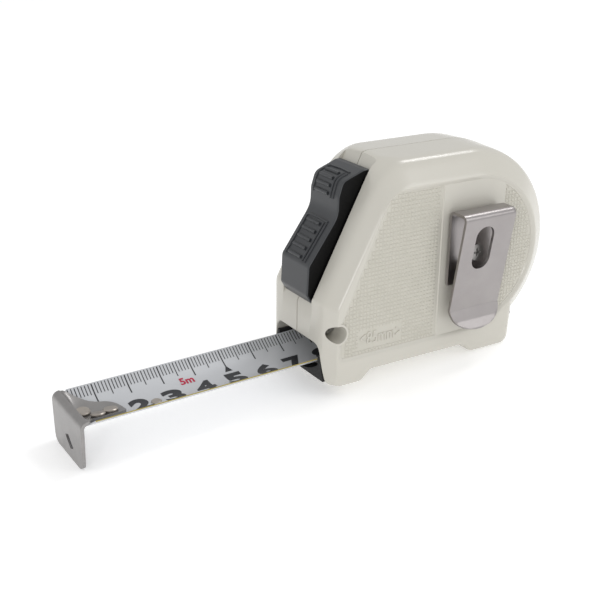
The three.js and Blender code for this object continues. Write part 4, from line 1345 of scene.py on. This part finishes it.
@dataclass
class LockLever:
    """The sliding lock: two finger pads with cross ribs, and polished black side skirts whose near-black
    colour also holds painted shade.
    """

    half: float = 7.5
    stand: float = 0.12  # how far the beads' middle lines stand off the back
    pads: tuple[tuple[float, float, int], ...] = ((9.8, 20.6, 5), (29.6, 36.0, 4))

    def profile(self) -> list[Point2]:
        """Side outline of the lever.

        Returns:
            The outline, X and Z.
        """
        corners = [((-1.4, -1.2), 0.0, 1), ((SLOPE_LENGTH - 0.9, -1.2), 0.8, 4),
                   ((SLOPE_LENGTH - 2.4, 1.2), 1.2, 6), ((34.2, 6.2), 3.0, 10), ((29.6, 5.4), 3.0, 8),
                   ((24.6, 3.0), 8.0, 10), ((8.2, 5.3), 2.4, 8), ((0.2, 1.6), 1.6, 6)]
        return rounded([(on_slope(*p), r, n) for p, r, n in corners])

    def back(self, along: float) -> float:
        """Height of the lever's back over the slope.

        Args:
            along: Distance up the slope.

        Returns:
            The height.
        """
        foot, best = Vector(on_slope(0.0, 0.0)), 0.0
        ring = [Vector(p) - foot for p in self.profile()]
        flat = [(p.x * SX + p.y * SZ, -p.x * SZ + p.y * SX) for p in ring]
        for (a0, h0), (a1, h1) in zip(flat, flat[1:] + flat[:1]):
            if min(a0, a1) <= along <= max(a0, a1) and abs(a1 - a0) > 1e-9:
                best = max(best, mix(h0, h1, (along - a0) / (a1 - a0)))
        return best

    def path(self, name: str, stops: Sequence[Point2]) -> bpy.types.Object:
        """A line of points lying on the lever's back, from pairs of along and y.

        Args:
            name: Name of the line.
            stops: Pairs of along and y.

        Returns:
            The line, as a mesh of edges.
        """
        points = []
        for along, y in stops:
            x, z = on_slope(along, self.back(along) + self.stand)
            points.append((x, y, z))
        mesh = bpy.data.meshes.new(name)
        mesh.from_pydata(points, [(k, k + 1) for k in range(len(points) - 1)], [])
        piece = bpy.data.objects.new(name, mesh)
        bpy.context.scene.collection.objects.link(piece)
        return piece

    def build(self) -> None:
        """Builds the lever, its ribs and the beads that frame its pads."""
        ring = self.profile()
        rims = [(0.0, 0.55), (0.08, 0.32), (0.25, 0.12), (0.55, 0.0)]
        steps = [(-self.half + d, inset_ring(ring, g)) for d, g in rims]
        steps += [(self.half - d, inset_ring(ring, g)) for d, g in reversed(rims)]
        body = loft_y("lock_lever_body", steps)
        body.data.materials.append(LEVER_ABS.make())
        body.data.materials.append(SKIRT_ABS_WITH_PAINTED_SHADE.make())
        # Faces turned to the sides take the near-black skirt finish, which holds painted shade.
        for face in body.data.polygons:
            face.material_index = 1 if abs(face.normal.y) > 0.85 else 0
        finish(body, None, Body.LOCK, replaces=("lock_lever",))
        parts = []
        for n, (low, high, count) in enumerate(self.pads):
            line = self.path(f"ribs_{n}", [(mix(low, high, k / 12), 1.2) for k in range(13)])
            parts.append(Repeater(f"pad ribs {n}", {"Count": count, "Radius": 0.55, "Length": 6.6},
                                  bars_tree).run(line, LEVER_ABS.make()))
            ends = (low - 0.9, high + 0.9)
            for y in (-3.4, -4.6):
                rail = self.path(f"rail_{n}", [(mix(*ends, k / 14), y) for k in range(15)])
                parts.append(Repeater(f"pad rail {n} {y}", {"Radius": 0.36}, bead_tree).run(
                    rail, LEVER_ABS.make()))
            frame_stops = [(mix(*ends, k / 14), 5.6) for k in range(15)]
            frame_stops += [(ends[1] + 0.5, 4.9), (ends[1] + 0.7, 0.0), (ends[1] + 0.5, -4.9)]
            edge = self.path(f"edge_{n}", frame_stops)
            parts.append(Repeater(f"pad edge {n}", {"Radius": 0.28}, bead_tree).run(edge, LEVER_ABS.make()))
        finish(merged("lever_ribs", parts), LEVER_ABS.make(), Body.LOCK)


# ---- Belt clip -----------------------------------------------------------------------------------


@dataclass
class BeltClip:
    """The spring clip: one strip folded over at its top, with an access slot and a flared lip."""

    width: float = 19.0
    thick: float = 0.9
    middle: float = 51.2
    top: float = 48.4
    foot: float = 17.2
    lip: float = 6.3
    reach: float = 7.0
    screw_z: float = 34.5
    slot: tuple[float, float, float, float] = (-1.2, 2.75, 6.8, 13.8)  # middle, width and height

    def path(self) -> list[tuple[float, float, float]]:
        """Middle line of the strip, from the hidden leaf's end to the lip: y, z, half width.

        Returns:
            For each row its y, z and half width.
        """
        face = -HALF - GAP - self.thick / 2
        leaf = face - self.reach
        heel = face - self.thick - 0.9
        corners = [((face, self.foot + 8), 0.0, 1), ((face, self.top - 0.45), 1.4, 8),
                   ((leaf + 0.1, self.top - 0.45), 1.5, 10), ((heel, self.foot), 1.2, 6),
                   ((heel - 1.7, self.foot - 3.6), 5.0, 10), ((heel - 3.4, self.foot - self.lip), 0.0, 1)]
        line = rounded(corners)
        out = []
        for (y0, z0), (y1, z1) in zip(line, line[1:]):
            steps = max(1, math.ceil(math.dist((y0, z0), (y1, z1)) / 0.8))
            out += [(mix(y0, y1, k / steps), mix(z0, z1, k / steps)) for k in range(steps)]
        out.append(line[-1])
        half = self.width / 2
        tip, reach = self.foot - self.lip, 7.0
        return [(y, z, half if z > tip + reach or y > leaf + self.reach - 0.5 else
                 half * math.sqrt(max(0.012, 1 - (1 - (z - tip) / reach) ** 2.6))) for y, z in out]

    def build(self) -> None:
        """Builds the clip with its access slot."""
        line = self.path()
        parts, points = 20, []
        for j, (y, z, half) in enumerate(line):
            y0, z0, _ = line[max(0, j - 1)]
            y1, z1, _ = line[min(len(line) - 1, j + 1)]
            ahead = Vector((y1 - y0, z1 - z0)).normalized()
            side = Vector((-ahead.y, ahead.x)) * self.thick / 2
            for way in (-1, 1):
                for k in range(parts + 1):
                    x = self.middle + half * (2 * k / parts - 1)
                    points.append((x, y + side.x * way, z + side.y * way))
        clip = mesh_object("belt_clip_strip", points, strip_faces(len(line), parts))
        dx, dz, wide, tall = self.slot
        hole = rounded([((self.middle + dx + sx * wide / 2, self.screw_z + dz + sz * tall / 2), 3.3, 12)
                        for sx, sz in ((-1, -1), (1, -1), (1, 1), (-1, 1))])
        face = -HALF - GAP - self.thick
        combine(clip, Bool.CUT, loft_y("access_slot", [(-30.0, hole), (face - 0.8, hole)]))
        finish(clip, CLIP_STEEL.make(), Body.CASE, bevel=0.13, replaces=("belt_clip",))


# ---- Small metal parts and the works inside ------------------------------------------------------


@dataclass
class Fittings:
    """Screws drawn again with softened edges, and finishes for the works inside the case."""

    screws: tuple[str, ...] = ("clip_screw", "case_screw_1", "case_screw_2", "case_screw_3",
                               "arbor_screw", "heel_pin")
    inside: tuple[tuple[str, Finish], ...] = (
        ("mouth_liner", RUBBER), ("brake_pad", RUBBER), ("lock_slider", NYLON), ("reel_drum", NYLON),
        ("reel_cover", NYLON), ("washer_near", NYLON), ("washer_far", NYLON),
        ("detent_spring", SPRING_STEEL), ("mainspring", SPRING_STEEL), ("blade_coil", BLADE_ENAMEL),
        ("reel_arbor", BRASS), ("clip_nut", BRASS))

    def build(self) -> None:
        """Copies the screws, rounds their edges and dresses the nodes that stay."""
        for name in self.screws:
            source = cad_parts[name]
            work = bmesh.new()
            work.from_mesh(source.data)
            bmesh.ops.remove_doubles(work, verts=work.verts, dist=1e-6)
            bmesh.ops.dissolve_limit(work, angle_limit=math.radians(1), verts=work.verts, edges=work.edges)
            work.transform(TO_FRAME.inverted())
            mesh = bpy.data.meshes.new(f"{name}_turned")
            work.to_mesh(mesh)
            work.free()
            piece = bpy.data.objects.new(f"{name}_turned", mesh)
            bpy.context.scene.collection.objects.link(piece)
            finish(piece, SCREW_STEEL.make(), Body.CASE, bevel=0.07, replaces=(name,))
        for name, surface in self.inside:
            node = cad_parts[name]
            node.data.materials.clear()
            node.data.materials.append(surface.make())
            LOG.info("%s: finished as %s", name, surface.name)


# ---- Table, light and camera ---------------------------------------------------------------------


@dataclass
class Studio:
    """A pale table, soft lights and the camera."""

    eye: Point3 = (-0.214336, -0.245807, 0.139178)
    right: Point3 = (0.84952207, -0.52743522, 0.01115077)
    up: Point3 = (0.18812035, 0.32261097, 0.92764912)
    ahead: Point3 = (0.49287218, 0.78596072, -0.37328644)
    lens: float = 63.54
    tilt: float = 0.0585  # the hook's tip and the heel both touch the table
    touch_x: float = 0.0068
    glow: float = 0.32  # the sheet is lit from below, like a light table
    sheet_half: float = 4000.0
    sky: float = 0.7  # strength of the even white surround
    aim: Point3 = (-0.02, 0.0, 0.03)
    # Soft boxes: name, place, side length and power.
    boxes: tuple[tuple[str, Point3, float, float], ...] = (
        ("top soft box", (0.42, 0.06, 0.74), 0.24, 1.3),
        ("left soft box", (-0.66, -0.56, 0.27), 0.15, 0.75),
        ("right soft box", (0.45, -0.67, 0.51), 0.34, 0.85))

    def camera(self) -> None:
        """Sets up the camera."""
        data = bpy.data.cameras.new("camera")
        data.lens, data.sensor_width, data.clip_start = self.lens, 36.0, 0.01
        holder = bpy.data.objects.new("camera", data)
        axes = Matrix((self.right, self.up, tuple(-v for v in self.ahead))).transposed()
        holder.matrix_world = Matrix.Translation(self.eye) @ axes.to_4x4()
        bpy.context.scene.collection.objects.link(holder)
        bpy.context.scene.camera = holder

    def table(self) -> None:
        """Lays the table sheet under the hook's tip and the heel."""
        half = self.sheet_half

        def height(x: float) -> float:
            """Height of the sheet at x."""
            return (x - HEEL_X - self.touch_x / MM) * self.tilt - 0.02
        sheet = mesh_object("table_sheet", [
            (x, y, height(x)) for x, y in ((-half, -half), (half, -half), (half, half), (-half, half))],
            [(0, 1, 2, 3)], False)
        sheet.data.transform(TO_FRAME)
        surface = TABLE_SHEET.make()
        shader = next(n for n in surface.node_tree.nodes if n.type == "BSDF_PRINCIPLED")
        shader.inputs["Emission Color"].default_value = linear("ffffff")
        shader.inputs["Emission Strength"].default_value = self.glow
        sheet.data.materials.append(surface)

    def light(self, name: str, place: Point3, size: float, power: float) -> None:
        """Adds a square soft box that looks at the case.

        Args:
            name: Name of the light.
            place: Where it stands, in metres.
            size: Length of its side.
            power: Its power in watts.
        """
        data = bpy.data.lights.new(name, "AREA")
        data.size, data.energy = size, power
        holder = bpy.data.objects.new(name, data)
        holder.location = place
        holder.rotation_mode = "QUATERNION"
        holder.rotation_quaternion = (Vector(self.aim) - Vector(place)).to_track_quat("-Z", "Y")
        bpy.context.scene.collection.objects.link(holder)

    def build(self) -> None:
        """Sets up everything round the object."""
        self.camera()
        self.table()
        world = bpy.data.worlds.new("studio")
        world.use_nodes = True
        world.node_tree.nodes.clear()
        sky = add_node(world.node_tree, "ShaderNodeBackground", {
            "Color": linear("ffffff"), "Strength": self.sky})
        add_node(world.node_tree, "ShaderNodeOutputWorld", None, {"Surface": sky.outputs[0]})
        bpy.context.scene.world = world
        for box in self.boxes:
            self.light(*box)
        bpy.context.scene.view_settings.view_transform = "Standard"


def main() -> None:
    """Builds the tape measure and what stands round it."""
    logging.basicConfig(level=logging.INFO, format="%(message)s")
    Studio().build()
    case = CaseShells()
    case.build()
    case.dots()
    case.mark()
    LockLever().build()
    BeltClip().build()
    blade = Blade()
    blade.build()
    EndHook(blade).build()
    Fittings().build()


if __name__ == "__main__":
    main()
